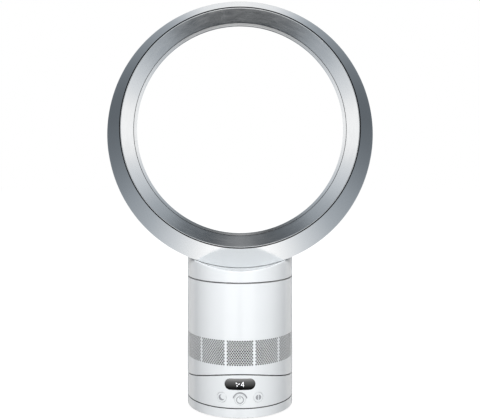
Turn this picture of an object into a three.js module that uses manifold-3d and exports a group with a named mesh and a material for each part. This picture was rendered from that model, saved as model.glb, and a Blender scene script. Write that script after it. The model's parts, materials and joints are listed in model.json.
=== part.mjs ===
// A bladeless desk fan: a round foot, a control casing that swings on it, a perforated motor casing
// that tilts in a cradle, and a hollow ring that blows air forward through a slot round its bore.
// Millimetres, +Z up, the front faces -Y. The origin is on the floor, on the axis of the round body.

import * as THREE from 'three';
import { mergeVertices } from 'three/addons/utils/BufferGeometryUtils.js';
import Module from 'manifold-3d';

const wasm = await Module();
wasm.setup();

// ---------------------------------------------------------------- driving dimensions

// The round body
const bodyRadius = 73;          // outside of the foot, both casings and the neck
const casingWall = 2.5;
const fitGap = 0.3;             // between pieces that seat on each other
const runGap = 0.4;             // between pieces that turn on each other
const edgeChamfer = 0.6;
const ledgeWidth = 4.5;         // inner ledges that carry the plates and rings
const ledgeThickness = 2.5;

// Foot
const padHeight = 1.2;
const padRadius = 7;
const padInset = 17;            // from the body's side to a pad's middle
const padCount = 4;
const basePlateThickness = 2;
const skirtLift = 1;            // the foot's lower edge clears the floor by this
const footHeight = 13.1;
const footDeck = 2.5;
const postRadius = 12;          // hollow pivot post that the upper parts turn on
const postBore = 9;
const postEnd = 1;              // post above its clip
const glideInset = 8;           // from the body's side to the glide ring
const glideWidth = 7;
const glideThickness = 1.6;
const screwRadius = 1.4;
const screwHeadRadius = 2.8;
const screwHeadHeight = 0.9;
const screwLength = 6;
const bossRadius = 4;
const baseScrewInset = 29;      // from the body's side to a screw's middle
const baseScrewCount = 3;

// Power inlet in the back of the foot
const inletWidth = 18;
const inletDepth = 13;
const inletMouthWidth = 14;
const inletMouthHeight = 4.6;
const inletMouthDepth = 9.5;
const contactSpacing = 8.8;
const contactRadius = 1.1;
const contactLength = 7;

// Swing drive
const turnSeam = 0.9;           // visible line between the foot and the control casing
const turntableThickness = 2.5;
const hubHeight = 4;
const hubWall = 4;
const gearModule = 1.5;
const gearTeeth = 30;
const pinionTeeth = 10;
const gearWidth = 4;
const pressureAngle = 20;       // degrees
const gearRootDepth = 1.15;     // tooth depths below and above the pitch circle, in modules
const gearTipHeight = 0.85;
const gearBacklash = 0.5;
const keyWidth = 3;
const keyHeight = 1.4;
const clipThickness = 1.5;
const clipReach = 3;
const clipGroove = 1;
const pinionShaftRadius = 2.5;
const pinionShaftReach = 4;
const swingMotorRadius = 17.5;
const swingMotorHeight = 15;
const swingMotorOffset = 8;     // its output shaft sits off its centre
const earLength = 42;
const earWidth = 7;
const earThickness = 1.2;

// Tilt: the seam is an arc about a level axis high in the body
const cradleHeadroom = 0.2;     // between the swing motor and the cradle above it
const tiltSeamRadius = 194;
const tiltSeam = 1.4;
const tiltLimit = 10;           // degrees each way
const cradleThickness = 2.5;
const tiltPlateThickness = 2.5;
const wireHoleRadius = 9;
const hookInset = 35;           // from the body's side to the middle of a hook
const hookStemWidth = 6;
const hookHeadWidth = 12;
const hookLength = 24;
const hookHeadThickness = 2;
const slotEnd = 1;              // free slot beyond the hook at full tilt
const glideStripWidth = 6;
const glideStripInset = 18;     // from the body's side to the middle of a strip
const foamRibInset = 23;        // from the body's side to the outside of the rib
const foamRibWall = 2;

// Controls on the front of the control casing
const displayRise = 31.5;       // heights above the control casing's lower edge
const displayWidth = 41;
const displayTall = 15;
const lensThickness = 2;
const moduleWidth = 30;
const moduleTall = 10;
const powerButtonRise = 11.1;
const powerButtonRadius = 7;
const sideButtonRise = 13.3;
const sideButtonRadius = 6.4;
const sideButtonAngle = 19.5;   // degrees round the body from the front
const buttonFlange = 1.2;
const buttonFlangeThickness = 1.5;
const buttonTravel = 0.8;
const buttonStemRadius = 2;
const statusArcRib = 0.8;       // casing left between the power button and its light
const statusArcWidth = 1.8;
const statusArcStart = 12;      // degrees above level
const controlBoardSide = 43;    // from the body's side to an end of the board
const controlBoardTall = 33;
const controlBoardThickness = 1.6;
const controlBoardInset = 16.5; // from the body's front to the board's front face
const boardRailWidth = 3;
const switchSize = 6;
const switchBody = 2.2;
const receiverRadius = 2.4;
const receiverLength = 3;
const powerBoardWidth = 26;
const powerBoardLength = 52;
const powerBoardThickness = 1.6;
const powerBoardInset = 27;     // from the body's side to the middle of the board
const standoffHeight = 4;
const standoffRadius = 3;
const capacitorRadius = 5;
const capacitorHeight = 9;

// Motor casing and its air intake
const intakeRise = 42;          // from the lowest point of the tilt seam to the middle of the intake
const intakePanels = 12;
const intakeRows = 3;
const intakeRowPitch = 9;
const intakeColumnPitch = 14;
const intakeWideRow = 2;        // holes in every other row; the rows between have one less
const intakeHole = 7.5;
const housingLedgeRise = 61.5;  // from the lowest point of the tilt seam
const housingLedgeWidth = 11;
const isolatorThickness = 3.4;
const isolatorWidth = 6;
const foamThickness = 7;
const foamHole = 25;

// Impeller, its housing and motor
const housingWall = 2;
const inletRadius = 37;         // narrowest way into the impeller
const housingInset = 21;        // from the body's side to the inside of the housing
const housingInletRise = 50;    // from the lowest point of the tilt seam
const housingFlareHeight = 26;
const housingHeight = 58;
const housingHeadroom = 26.5;   // from the housing to the top of the casing
const bellmouthRise = 9;
const bellmouthFlare = 11;
const bellmouthWall = 1.8;
const bladeCount = 9;
const bladeThickness = 1.8;
const bladeTwist = 62;          // degrees from the lower edge to the upper edge
const bladeClearance = 1;
const impellerNoseRadius = 9;
const impellerHubRadius = 28;
const impellerNose = 3;         // hub below the blades
const bladeHeight = 19;
const shaftRadius = 2.5;
const bucketRadius = 31;
const bucketWall = 2;
const bucketGap = 3;            // from the impeller to the motor bucket
const bucketCupHeight = 22.4;
const bucketConeHeight = 24;
const bucketCapRadius = 12;
const vaneCount = 7;
const vaneThickness = 1.8;
const vaneTwist = -26;
const vaneHeight = 17;
const diffuserRing = 1.8;
const rotorRadius = 11;
const rotorHeight = 13;
const statorInner = 12;
const statorOuter = 24;
const statorHeight = 10;
const poleCount = 4;
const bearingRadius = 6;
const bearingHeight = 4;
const bearingWall = 1.6;

// Joint between the motor casing and the ring's neck
const neckSeam = 1;             // visible line below the neck
const topRingHeight = 6;
const spigotInset = 13;         // from the body's side to the inside of the spigot
const spigotWall = 2.2;
const spigotRise = 6;
const spigotFlange = 2.2;
const lugHeight = 2.5;
const lugReach = 2.4;
const lugAngle = 24;            // degrees
const lugCount = 3;
const lugPlay = 4;              // degrees that an entry is wider than its lug
const sleeveWall = 1.8;
const sleeveLip = 5;
const neckRise = 15;            // from the neck's lower edge to the lowest point of its saddle
const deckThickness = 2.5;      // the neck's saddle under the ring
const riserWidth = 80;
const riserDepth = 40;
const riserMiddle = -10;        // the ring's air inlet lies ahead of the axis
const riserWall = 2;
const riserReach = 4;
const riserFlange = 5;

// Ring: its bore and its outside aren't on one axis, so the outer band widens downwards
const ringDrop = 8.8;           // from the bore's axis down to the outside's axis
const throatRadius = 147.2;
const lipFlare = 12;            // from the throat out to the front lip
const bandWidth = 19.3;         // from the front lip out to the outside
const ringFront = -61.6;
const ringBack = 38;
const bevelRound = 7;
const backStart = 8;            // where the outside starts to round to the back
const backInset = 16.5;         // from the outside in to the rearmost line
const throatDepth = 18;
const lipEnd = 10;              // forward edge of the inward curl
const ringWall = 2.2;
const lipEdge = 1.3;
const slotWidth = 1.4;          // air slot round the bore
const lipGroove = 1.2;          // dark line round the front lip
const frontEdge = 1;
const rampWall = 1.9;
const rampStraightEnd = -12;
const rampSlope = 0.108;
const noseLength = 7;
const sealWidth = 1.8;
const sealDepth = 4;
const saddleGap = 0.5;

// Facets
const bodySides = 40;
const ringSides = 40;
const innerSides = 20;
const smallSides = 10;
const seamSides = 96;
const curveSteps = 3;
const bladeSteps = 2;

// ---------------------------------------------------------------- derived places

const bodyInner = bodyRadius - casingWall;
const plateRadius = bodyInner - fitGap;
const ledgeRadius = bodyInner - ledgeWidth;
// The middle of the inner wall's flat facets, where it comes nearest to the axis.
const bodyInnerFlat = bodyInner * Math.cos(Math.PI / bodySides);
const padCircle = bodyRadius - padInset;
const glideOuter = bodyRadius - glideInset;
const glideInner = glideOuter - glideWidth;
const baseScrewCircle = bodyRadius - baseScrewInset;
const hookOffset = bodyRadius - hookInset;
const glideStripOffset = bodyRadius - glideStripInset;
const glideStripEnd = Math.sqrt(bodyInner ** 2 - (glideStripOffset + glideStripWidth / 2) ** 2);
const glideStripLength = 2 * glideStripEnd - fitGap / 2;
const foamRibRadius = bodyRadius - foamRibInset;
const controlBoardDepth = bodyRadius - controlBoardInset;
const controlBoardWidth = 2 * (bodyRadius - controlBoardSide);
const powerBoardOffset = bodyRadius - powerBoardInset;
const housingRadius = bodyRadius - housingInset;
const spigotRadius = bodyRadius - spigotInset;

const basePlateBottom = padHeight + fitGap;
const basePlateTop = basePlateBottom + basePlateThickness;
const deckBottom = footHeight - footDeck;

const turntableBottom = footHeight + turnSeam;
const turntableTop = turntableBottom + turntableThickness;
const hubTop = turntableBottom + hubHeight;
const gearBottom = hubTop + runGap;
const gearTop = gearBottom + gearWidth;
const clipBottom = gearTop + fitGap;
const clipTop = clipBottom + clipThickness;
const postTop = clipTop + postEnd;
const swingMotorBottom = postTop + runGap;
const pinionDistance = gearModule * (gearTeeth + pinionTeeth) / 2;
const swingMotorDistance = pinionDistance + swingMotorOffset;
const displayHeight = turntableBottom + displayRise;
const powerButtonHeight = turntableBottom + powerButtonRise;
const sideButtonHeight = turntableBottom + sideButtonRise;

const mainSeamRadius = tiltSeamRadius - tiltSeam / 2;
const controlSeamRadius = tiltSeamRadius + tiltSeam / 2;
const cradleRadius = controlSeamRadius + cradleThickness;
const cradleBottom = swingMotorBottom + swingMotorHeight + cradleHeadroom;
const tiltAxisHeight = cradleBottom + cradleRadius;
const seamBottom = tiltAxisHeight - tiltSeamRadius;
const tiltPlateRadius = mainSeamRadius - tiltPlateThickness;
const hookSwing = cradleRadius * Math.sin(THREE.MathUtils.degToRad(tiltLimit));

const intakeMiddle = seamBottom + intakeRise;
const housingLedgeHeight = seamBottom + housingLedgeRise;
const housingInletHeight = seamBottom + housingInletRise;
const housingWideHeight = housingInletHeight + housingFlareHeight;
const housingTop = housingInletHeight + housingHeight;
const casingTop = housingTop + housingHeadroom;
const housingSeat = housingLedgeHeight + ledgeThickness + fitGap + isolatorThickness + fitGap;
const bladeBottom = housingInletHeight + 2 * fitGap;
const bladeTop = bladeBottom + bladeHeight;
const bucketBottom = bladeTop + bucketGap;
const bucketSplit = bucketBottom + bucketCupHeight;
const bucketTop = bucketSplit + bucketConeHeight;

const topRingTop = casingTop - fitGap;
const topRingBottom = topRingTop - topRingHeight;
const neckBottom = casingTop + neckSeam;
const spigotOuter = spigotRadius + spigotWall;
const spigotFlangeBottom = neckBottom + edgeChamfer;
const spigotTop = spigotFlangeBottom + spigotRise;
const lugTop = topRingBottom - fitGap;
const spigotBottom = lugTop - lugHeight;

const lipRadius = throatRadius + lipFlare;
const ringRadius = lipRadius + bandWidth;
const backRadius = ringRadius - backInset;
const saddleRadius = ringRadius + saddleGap;
const outsideHeight = neckBottom + neckRise + saddleRadius;
const boreHeight = outsideHeight + ringDrop;

const inward = 1;               // how far a joined piece reaches into what carries it
const through = 20;             // how far a cutter reaches past what it cuts

// ---------------------------------------------------------------- shapes

function radians(degrees) {
  return THREE.MathUtils.degToRad(degrees);
}

// A closed mesh as a solid that can be joined and cut.
function solidOf(source) {
  const bare = source.clone();
  bare.deleteAttribute('normal');
  bare.deleteAttribute('uv');
  const merged = mergeVertices(bare, 1e-4);
  const corners = [];
  for (let i = 0; i < merged.index.count; i += 3) {
    const [a, b, c] = [0, 1, 2].map((k) => merged.index.getX(i + k));
    if (a !== b && b !== c && c !== a) corners.push(a, b, c);
  }
  const vertProperties = new Float32Array(merged.attributes.position.array);
  const triVerts = new Uint32Array(corners);
  return new wasm.Manifold(new wasm.Mesh({ numProp: 3, vertProperties, triVerts }));
}

function geometryOf(solid) {
  const mesh = solid.getMesh();
  const geometry = new THREE.BufferGeometry();
  geometry.setAttribute('position', new THREE.BufferAttribute(new Float32Array(mesh.vertProperties), 3));
  geometry.setIndex(new THREE.BufferAttribute(new Uint32Array(mesh.triVerts), 1));
  geometry.computeVertexNormals();
  return geometry;
}

// Turns the faces of a closed triangle list outwards, whichever way its outline was drawn.
function facingOut(positions, triangles) {
  const [a, b, c] = [new THREE.Vector3(), new THREE.Vector3(), new THREE.Vector3()];
  let volume = 0;
  for (let i = 0; i < triangles.length; i += 3) {
    a.fromArray(positions, triangles[i] * 3);
    b.fromArray(positions, triangles[i + 1] * 3);
    c.fromArray(positions, triangles[i + 2] * 3);
    volume += a.dot(b.cross(c));
  }
  const ordered = volume > 0 ? triangles : triangles.toReversed();
  const geometry = new THREE.BufferGeometry();
  geometry.setAttribute('position', new THREE.Float32BufferAttribute(positions, 3));
  geometry.setIndex(ordered);
  return solidOf(geometry);
}

// A solid turned about Z from [radius, height] points that close on themselves.
function turned(outline, sides = innerSides) {
  const points = [...outline, outline[0]].map(([radius, height]) => new THREE.Vector2(radius, height));
  const lathe = new THREE.LatheGeometry(points, sides).rotateX(Math.PI / 2);
  return facingOut([...lathe.attributes.position.array], [...lathe.index.array]);
}

function tube(inner, outer, bottom, top, sides = innerSides) {
  return turned([[inner, bottom], [outer, bottom], [outer, top], [inner, top]], sides);
}

function rod(radius, bottom, top, x = 0, y = 0, sides = smallSides) {
  const geometry = new THREE.CylinderGeometry(radius, radius, top - bottom, sides);
  geometry.rotateX(Math.PI / 2);
  geometry.translate(x, y, (bottom + top) / 2);
  return solidOf(geometry);
}

function block(width, depth, bottom, top, x = 0, y = 0) {
  const geometry = new THREE.BoxGeometry(width, depth, top - bottom);
  geometry.translate(x, y, (bottom + top) / 2);
  return solidOf(geometry);
}

// A flat outline pushed up from one height to another.
function raised(shape, bottom, top) {
  const geometry = new THREE.ExtrudeGeometry(shape, {
    depth: top - bottom,
    bevelEnabled: false,
    curveSegments: smallSides / 2,
  });
  geometry.translate(0, 0, bottom);
  return solidOf(geometry);
}

// A long cylinder along X about the tilt axis: its underside is the arc of the tilt seam.
function tiltBarrel(radius) {
  const geometry = new THREE.CylinderGeometry(radius, radius, bodyRadius * 2 + through, seamSides);
  geometry.rotateZ(Math.PI / 2);
  geometry.translate(0, 0, tiltAxisHeight);
  return solidOf(geometry);
}

// What lies between two arcs about the tilt axis, inside an upright tube.
function arcPlate(innerArc, outerArc, innerRadius, outerRadius) {
  const column = innerRadius > 0
    ? tube(innerRadius, outerRadius, 0, tiltAxisHeight)
    : rod(outerRadius, 0, tiltAxisHeight, 0, 0, innerSides);
  return column.intersect(tiltBarrel(outerArc)).subtract(tiltBarrel(innerArc));
}

// Joins rings of equal point counts into one skin; open ends get a flat cap.
function loft(sections, closed = false) {
  const count = sections[0].length;
  const positions = sections.flat().flatMap((point) => point.toArray());
  const triangles = [];
  const spans = closed ? sections.length : sections.length - 1;
  for (let i = 0; i < spans; i++) {
    const here = i * count;
    const next = ((i + 1) % sections.length) * count;
    for (let j = 0; j < count; j++) {
      const k = (j + 1) % count;
      triangles.push(here + j, next + j, next + k, here + j, next + k, here + k);
    }
  }
  if (!closed) {
    const last = (sections.length - 1) * count;
    for (let j = 1; j < count - 1; j++) {
      triangles.push(0, j, j + 1);
      triangles.push(last, last + j + 1, last + j);
    }
  }
  return facingOut(positions, triangles);
}

function aroundZ(count, make) {
  return Array.from({ length: count }, (_, i) => make(i, (360 * i) / count));
}

function joined(pieces) {
  return wasm.Manifold.union(pieces);
}

// ---------------------------------------------------------------- finishes and nodes

const finishes = {
  glossWhite: { color: 0xf3f4f5, roughness: 0.2, metalness: 0 },
  silver: { color: 0xb9bcc0, roughness: 0.32, metalness: 0.85 },
  rubber: { color: 0x2a2a2c, roughness: 0.8, metalness: 0 },
  steel: { color: 0x9a9ca0, roughness: 0.4, metalness: 1 },
  greyPlastic: { color: 0x8d9095, roughness: 0.5, metalness: 0 },
  darkPlastic: { color: 0x1b1c1e, roughness: 0.35, metalness: 0 },
  board: { color: 0x1f5b3a, roughness: 0.6, metalness: 0 },
  copper: { color: 0xb5713f, roughness: 0.4, metalness: 0.9 },
  foam: { color: 0x3b3c3f, roughness: 0.95, metalness: 0 },
};

function piece(name, solid, finish) {
  const mesh = new THREE.Mesh(geometryOf(solid), new THREE.MeshStandardMaterial(finishes[finish]));
  mesh.name = name;
  return mesh;
}

function groupOf(...meshes) {
  const group = new THREE.Group();
  group.add(...meshes);
  return group;
}

// ---------------------------------------------------------------- foot

const inletBottom = basePlateTop + fitGap;
const inletTop = deckBottom - fitGap;
const inletMiddle = (inletBottom + inletTop) / 2;
const inletBack = Math.sqrt(bodyRadius ** 2 - (inletWidth / 2) ** 2) - fitGap;

// Copies of an upright solid at the places of the base plate's screws.
function baseScrewPlaces(solid) {
  const front = solid.translate([0, -baseScrewCircle, 0]);
  return aroundZ(baseScrewCount, (i, turn) => front.rotate([0, 0, turn]));
}

function footShell() {
  const grooveFloor = turntableBottom - 2 * fitGap - glideThickness;
  const skirt = turned([
    [bodyInner, skirtLift],
    [bodyRadius - edgeChamfer, skirtLift],
    [bodyRadius, skirtLift + edgeChamfer],
    [bodyRadius, footHeight - edgeChamfer],
    [bodyRadius - edgeChamfer, footHeight],
    [bodyInner, footHeight],
  ], bodySides);
  const deck = turned([
    [postRadius + inward, deckBottom],
    [bodyInner + inward, deckBottom],
    [bodyInner + inward, footHeight - edgeChamfer],
    [bodyInner, footHeight],
    [glideOuter + fitGap, footHeight],
    [glideOuter + fitGap, grooveFloor],
    [glideInner - fitGap, grooveFloor],
    [glideInner - fitGap, footHeight],
    [postRadius + inward, footHeight],
  ]);
  const post = turned([
    [postBore, deckBottom],
    [postRadius + 2 * inward, deckBottom],
    [postRadius + 2 * inward, footHeight],
    [postRadius, footHeight],
    [postRadius, clipBottom - fitGap / 2],
    [postRadius - clipGroove, clipBottom - fitGap / 2],
    [postRadius - clipGroove, clipTop + fitGap / 2],
    [postRadius, clipTop + fitGap / 2],
    [postRadius, postTop],
    [postBore, postTop],
  ]);
  const keyMiddle = -postRadius - (keyHeight - inward) / 2;
  const key = block(keyWidth, keyHeight + inward, gearBottom, gearTop, 0, keyMiddle);
  const bosses = baseScrewPlaces(rod(bossRadius, basePlateTop + fitGap, deckBottom + inward));
  const screwHoles = baseScrewPlaces(rod(screwRadius + fitGap, 0, deckBottom));
  const inletGap = block(
    inletWidth + 2 * fitGap, through, inletBottom - fitGap, inletTop + fitGap, 0, bodyRadius,
  );
  return joined([skirt, deck, post, key, ...bosses]).subtract(joined([...screwHoles, inletGap]));
}

function basePlate() {
  const plate = rod(plateRadius, basePlateBottom, basePlateTop, 0, 0, bodySides);
  const holes = baseScrewPlaces(rod(screwRadius + fitGap, 0, basePlateTop + inward));
  return plate.subtract(joined(holes));
}

function pad() {
  return turned([
    [0, 0],
    [padRadius - edgeChamfer / 2, 0],
    [padRadius, edgeChamfer / 2],
    [padRadius, padHeight],
    [0, padHeight],
  ], smallSides);
}

function screw() {
  return turned([
    [0, -screwHeadHeight],
    [screwHeadRadius, -screwHeadHeight],
    [screwHeadRadius, 0],
    [screwRadius, 0],
    [screwRadius, screwLength],
    [0, screwLength],
  ], smallSides / 2);
}

function glideRing() {
  const bottom = turntableBottom - fitGap - glideThickness;
  return tube(glideInner, glideOuter, bottom, bottom + glideThickness);
}

function postClip() {
  const ring = tube(postRadius - clipGroove + fitGap, postRadius + clipReach, clipBottom, clipTop);
  return ring.subtract(block(postRadius, through, 0, clipTop + through, 0, postRadius));
}

function powerInlet() {
  const front = inletBack - inletDepth;
  const body = block(inletWidth, inletDepth, inletBottom, inletTop, 0, front + inletDepth / 2);
  const mouth = block(
    inletMouthWidth, inletMouthDepth + through,
    inletMiddle - inletMouthHeight / 2, inletMiddle + inletMouthHeight / 2,
    0, inletBack - inletMouthDepth + (inletMouthDepth + through) / 2,
  );
  const contacts = [-1, 1].map((side) => rod(contactRadius, 0, contactLength + inward)
    .rotate([-90, 0, 0])
    .translate([side * contactSpacing / 2, inletBack - inletMouthDepth - inward, inletMiddle]));
  return joined([body.subtract(mouth), ...contacts]);
}

// ---------------------------------------------------------------- gears

// A gear outline whose flanks run from root to tip on an involute; a tooth points along +X.
function gearOutline(teeth) {
  const pressure = radians(pressureAngle);
  const pitch = gearModule * teeth / 2;
  const base = pitch * Math.cos(pressure);
  const root = pitch - gearRootDepth * gearModule;
  const tip = pitch + gearTipHeight * gearModule;
  const involute = (angle) => Math.tan(angle) - angle;
  const halfTooth = Math.PI / (2 * teeth) - gearBacklash / (4 * pitch);
  const halfAngle = (radius) => {
    const angle = Math.acos(Math.min(1, base / radius));
    return halfTooth + involute(pressure) - involute(angle);
  };
  const flank = [root, tip];
  const points = [];
  for (let tooth = 0; tooth < teeth; tooth++) {
    const middle = (2 * Math.PI * tooth) / teeth;
    for (const radius of flank) {
      const angle = middle - halfAngle(radius);
      points.push(new THREE.Vector2(radius * Math.cos(angle), radius * Math.sin(angle)));
    }
    for (const radius of flank.toReversed()) {
      const angle = middle + halfAngle(radius);
      points.push(new THREE.Vector2(radius * Math.cos(angle), radius * Math.sin(angle)));
    }
  }
  return new THREE.Shape(points);
}

function fixedGear() {
  const bore = rod(postRadius + fitGap, gearBottom - inward, gearTop + inward, 0, 0, bodySides);
  const keyway = block(
    keyWidth + 2 * fitGap, keyHeight + 2 * fitGap + inward,
    gearBottom - inward, gearTop + inward,
    0, -postRadius - (keyHeight + fitGap) / 2,
  );
  // A tooth faces the pinion, which lies on +Y.
  const wheel = raised(gearOutline(gearTeeth), gearBottom, gearTop).rotate([0, 0, 90]);
  return wheel.subtract(joined([bore, keyway]));
}

function swingPinion() {
  // A gap between two teeth faces the fixed gear's tooth.
  const wheel = raised(gearOutline(pinionTeeth), gearBottom, gearTop).rotate([0, 0, 180 / pinionTeeth - 90]);
  const shaft = rod(pinionShaftRadius, gearBottom + inward, swingMotorBottom + pinionShaftReach);
  return joined([wheel, shaft]);
}

// ---------------------------------------------------------------- swinging control casing

const controlBoardBottom = turntableTop + fitGap;
const controlBoardBack = -controlBoardDepth + controlBoardThickness;

function turntable() {
  const disc = turned([
    [postRadius + runGap, turntableBottom],
    [plateRadius, turntableBottom],
    [plateRadius, turntableTop],
    [postRadius + runGap + hubWall, turntableTop],
    [postRadius + runGap + hubWall, hubTop],
    [postRadius + runGap, hubTop],
  ]);
  const motorPosts = [-1, 1].map((side) => rod(
    earWidth / 2, turntableTop - inward, swingMotorBottom - fitGap,
    side * (earLength - earWidth) / 2, swingMotorDistance,
  ));
  const boardPosts = [-1, 1].map((side) => rod(
    standoffRadius, turntableTop - inward, turntableTop + standoffHeight,
    -powerBoardOffset, side * (powerBoardLength / 2 - standoffRadius),
  ));
  const railMiddle = -controlBoardDepth + controlBoardThickness / 2;
  const rails = [-1, 1].map((side) => block(
    boardRailWidth * 2, controlBoardThickness + 2 * boardRailWidth,
    turntableTop - inward, sideButtonHeight - switchSize / 2 - fitGap,
    side * (controlBoardWidth / 2), railMiddle,
  ));
  const boardSlot = block(
    controlBoardWidth + 2 * fitGap, controlBoardThickness + 2 * fitGap,
    turntableTop, turntableTop + controlBoardTall, 0, railMiddle,
  );
  return joined([disc, ...motorPosts, ...boardPosts, ...rails]).subtract(boardSlot);
}

function pill(width, height) {
  const radius = height / 2;
  const reach = width / 2 - radius;
  const shape = new THREE.Shape();
  shape.absarc(reach, 0, radius, -Math.PI / 2, Math.PI / 2);
  shape.absarc(-reach, 0, radius, Math.PI / 2, Math.PI * 1.5);
  shape.closePath();
  return shape;
}

function arcBand(inner, outer, start, end) {
  const shape = new THREE.Shape();
  shape.absarc(0, 0, outer, start, end, false);
  shape.absarc(0, 0, inner, end, start, true);
  shape.closePath();
  return shape;
}

// A prism that enters the front of the body at one height, along +Y.
function frontPrism(shape, height) {
  return raised(shape, -through / 2, through / 2).rotate([90, 0, 0]).translate([0, -bodyRadius, height]);
}

const statusArcInner = powerButtonRadius + fitGap + statusArcRib;

function statusArcShape(growth) {
  return arcBand(
    statusArcInner - growth, statusArcInner + statusArcWidth + growth,
    radians(statusArcStart) - growth / statusArcInner,
    radians(180 - statusArcStart) + growth / statusArcInner,
  );
}

function controlCasing() {
  const wall = turned([
    [bodyInner, turntableBottom],
    [bodyRadius - edgeChamfer, turntableBottom],
    [bodyRadius, turntableBottom + edgeChamfer],
    [bodyRadius, tiltAxisHeight],
    [bodyInner, tiltAxisHeight],
  ], bodySides);
  const turntableLedge = tube(
    ledgeRadius, bodyInner + inward,
    turntableTop + fitGap, turntableTop + fitGap + ledgeThickness,
  );
  const railRoom = joined([-1, 1].map((side) => block(
    boardRailWidth * 2 + 2 * fitGap, through, 0, tiltAxisHeight,
    side * (controlBoardWidth / 2), -controlBoardDepth,
  )));
  const cradleLedge = arcPlate(
    cradleRadius + fitGap, cradleRadius + fitGap + ledgeThickness, ledgeRadius, bodyInner + inward,
  );
  const frontRoom = block(
    controlBoardWidth, bodyInner, turntableTop, tiltAxisHeight, 0, -bodyInner / 2 - ledgeWidth,
  );
  const inside = rod(bodyInner, turntableTop, tiltAxisHeight, 0, 0, bodySides);
  const ledges = joined([turntableLedge.subtract(railRoom), cradleLedge]);
  const frontCut = frontRoom.intersect(inside);
  const windows = joined([
    frontPrism(pill(displayWidth, displayTall), displayHeight),
    frontPrism(statusArcShape(fitGap), powerButtonHeight),
    buttonHole(powerButtonRadius, powerButtonHeight, 0),
    buttonHole(sideButtonRadius, sideButtonHeight, sideButtonAngle),
    buttonHole(sideButtonRadius, sideButtonHeight, -sideButtonAngle),
  ]);
  return joined([wall.subtract(tiltBarrel(controlSeamRadius)), ledges.subtract(frontCut)]).subtract(windows);
}

function buttonHole(radius, height, turn) {
  return rod(radius + fitGap, -through / 2, through / 2, 0, 0, innerSides)
    .rotate([90, 0, 0])
    .translate([0, -bodyRadius, height])
    .rotate([0, 0, turn]);
}

function tiltCradle() {
  const plate = arcPlate(controlSeamRadius, cradleRadius, 0, plateRadius);
  const slots = [-1, 1].map((side) => block(
    hookStemWidth + 2 * runGap, hookLength + 2 * (hookSwing + slotEnd),
    0, tiltAxisHeight, side * hookOffset, 0,
  ));
  const wireHole = rod(wireHoleRadius + hookSwing / 2, 0, tiltAxisHeight, 0, 0, innerSides);
  const boardRoom = block(
    controlBoardWidth + 2 * runGap, bodyInner, 0, tiltAxisHeight,
    0, controlBoardBack + runGap - bodyInner / 2,
  );
  return plate.subtract(joined([...slots, wireHole, boardRoom]));
}

function glideStrip(side) {
  return block(glideStripWidth, glideStripLength, 0, tiltAxisHeight, side * glideStripOffset, 0)
    .intersect(tiltBarrel(controlSeamRadius - fitGap))
    .subtract(tiltBarrel(mainSeamRadius + fitGap));
}

function swingMotor() {
  const can = rod(
    swingMotorRadius, swingMotorBottom, swingMotorBottom + swingMotorHeight,
    0, swingMotorDistance, innerSides,
  );
  const ears = block(
    earLength, earWidth, swingMotorBottom, swingMotorBottom + earThickness, 0, swingMotorDistance,
  );
  const socket = rod(
    pinionShaftRadius + fitGap, swingMotorBottom - inward, swingMotorBottom + pinionShaftReach + fitGap,
    0, pinionDistance,
  );
  return joined([can, ears]).subtract(socket);
}

function displayLens() {
  const band = tube(bodyRadius - lensThickness, bodyRadius, 0, tiltAxisHeight, bodySides * 2);
  const outline = frontPrism(pill(displayWidth - 2 * fitGap, displayTall - 2 * fitGap), displayHeight);
  return band.intersect(outline);
}

// How far forward a piece behind the lens can reach at some distance from the middle.
function lensBack(x) {
  return -(bodyRadius - lensThickness - fitGap) * Math.cos(Math.asin(x / bodyRadius));
}

function displayModule() {
  const front = lensBack(moduleWidth / 2);
  const back = -controlBoardDepth - fitGap;
  return block(
    moduleWidth, back - front,
    displayHeight - moduleTall / 2, displayHeight + moduleTall / 2,
    0, (front + back) / 2,
  );
}

function controlBoard() {
  return block(
    controlBoardWidth, controlBoardThickness,
    controlBoardBottom, controlBoardBottom + controlBoardTall,
    0, -controlBoardDepth + controlBoardThickness / 2,
  );
}

function irReceiver() {
  const x = moduleWidth / 2 + receiverRadius + fitGap;
  const front = lensBack(x + receiverRadius);
  const back = -controlBoardDepth - fitGap;
  const legs = block(
    receiverRadius, back - front - receiverLength + inward, -receiverRadius / 2, receiverRadius / 2, x, 0,
  );
  const bulb = rod(receiverRadius, 0, receiverLength).rotate([90, 0, 0]);
  return joined([
    bulb.translate([x, front + receiverLength, displayHeight]),
    legs.translate([0, (back + front + receiverLength - inward) / 2, displayHeight]),
  ]);
}

function statusLight() {
  const band = tube(bodyInnerFlat, bodyRadius, 0, tiltAxisHeight, bodySides * 2);
  return band.intersect(frontPrism(statusArcShape(0), powerButtonHeight));
}

function powerBoard() {
  const bottom = turntableTop + standoffHeight + fitGap;
  const top = bottom + powerBoardThickness;
  const plate = block(powerBoardWidth, powerBoardLength, bottom, top, -powerBoardOffset, 0);
  const capacitors = [-1, 1].map((side) => rod(
    capacitorRadius, top - inward, top + capacitorHeight,
    -powerBoardOffset, side * powerBoardLength / 4,
  ));
  const chip = block(
    powerBoardWidth / 2, powerBoardWidth / 2, top - inward, top + capacitorHeight / 2, -powerBoardOffset, 0,
  );
  return joined([plate, ...capacitors, chip]);
}

// A button in its own frame: its axis is Y, its face lies on the round of the body.
function button(radius) {
  const flangeFront = buttonFlangeFront(radius);
  const stemEnd = buttonStemEnd(radius);
  const profile = turned([
    [0, stemEnd],
    [buttonStemRadius, stemEnd],
    [buttonStemRadius, flangeFront - buttonFlangeThickness],
    [radius + buttonFlange, flangeFront - buttonFlangeThickness],
    [radius + buttonFlange, flangeFront],
    [radius, flangeFront],
    [radius, bodyRadius + through],
    [0, bodyRadius + through],
  ]);
  const round = rod(bodyRadius, -through, through, 0, 0, bodySides * 2);
  return profile.rotate([90, 0, 0]).intersect(round);
}

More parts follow.
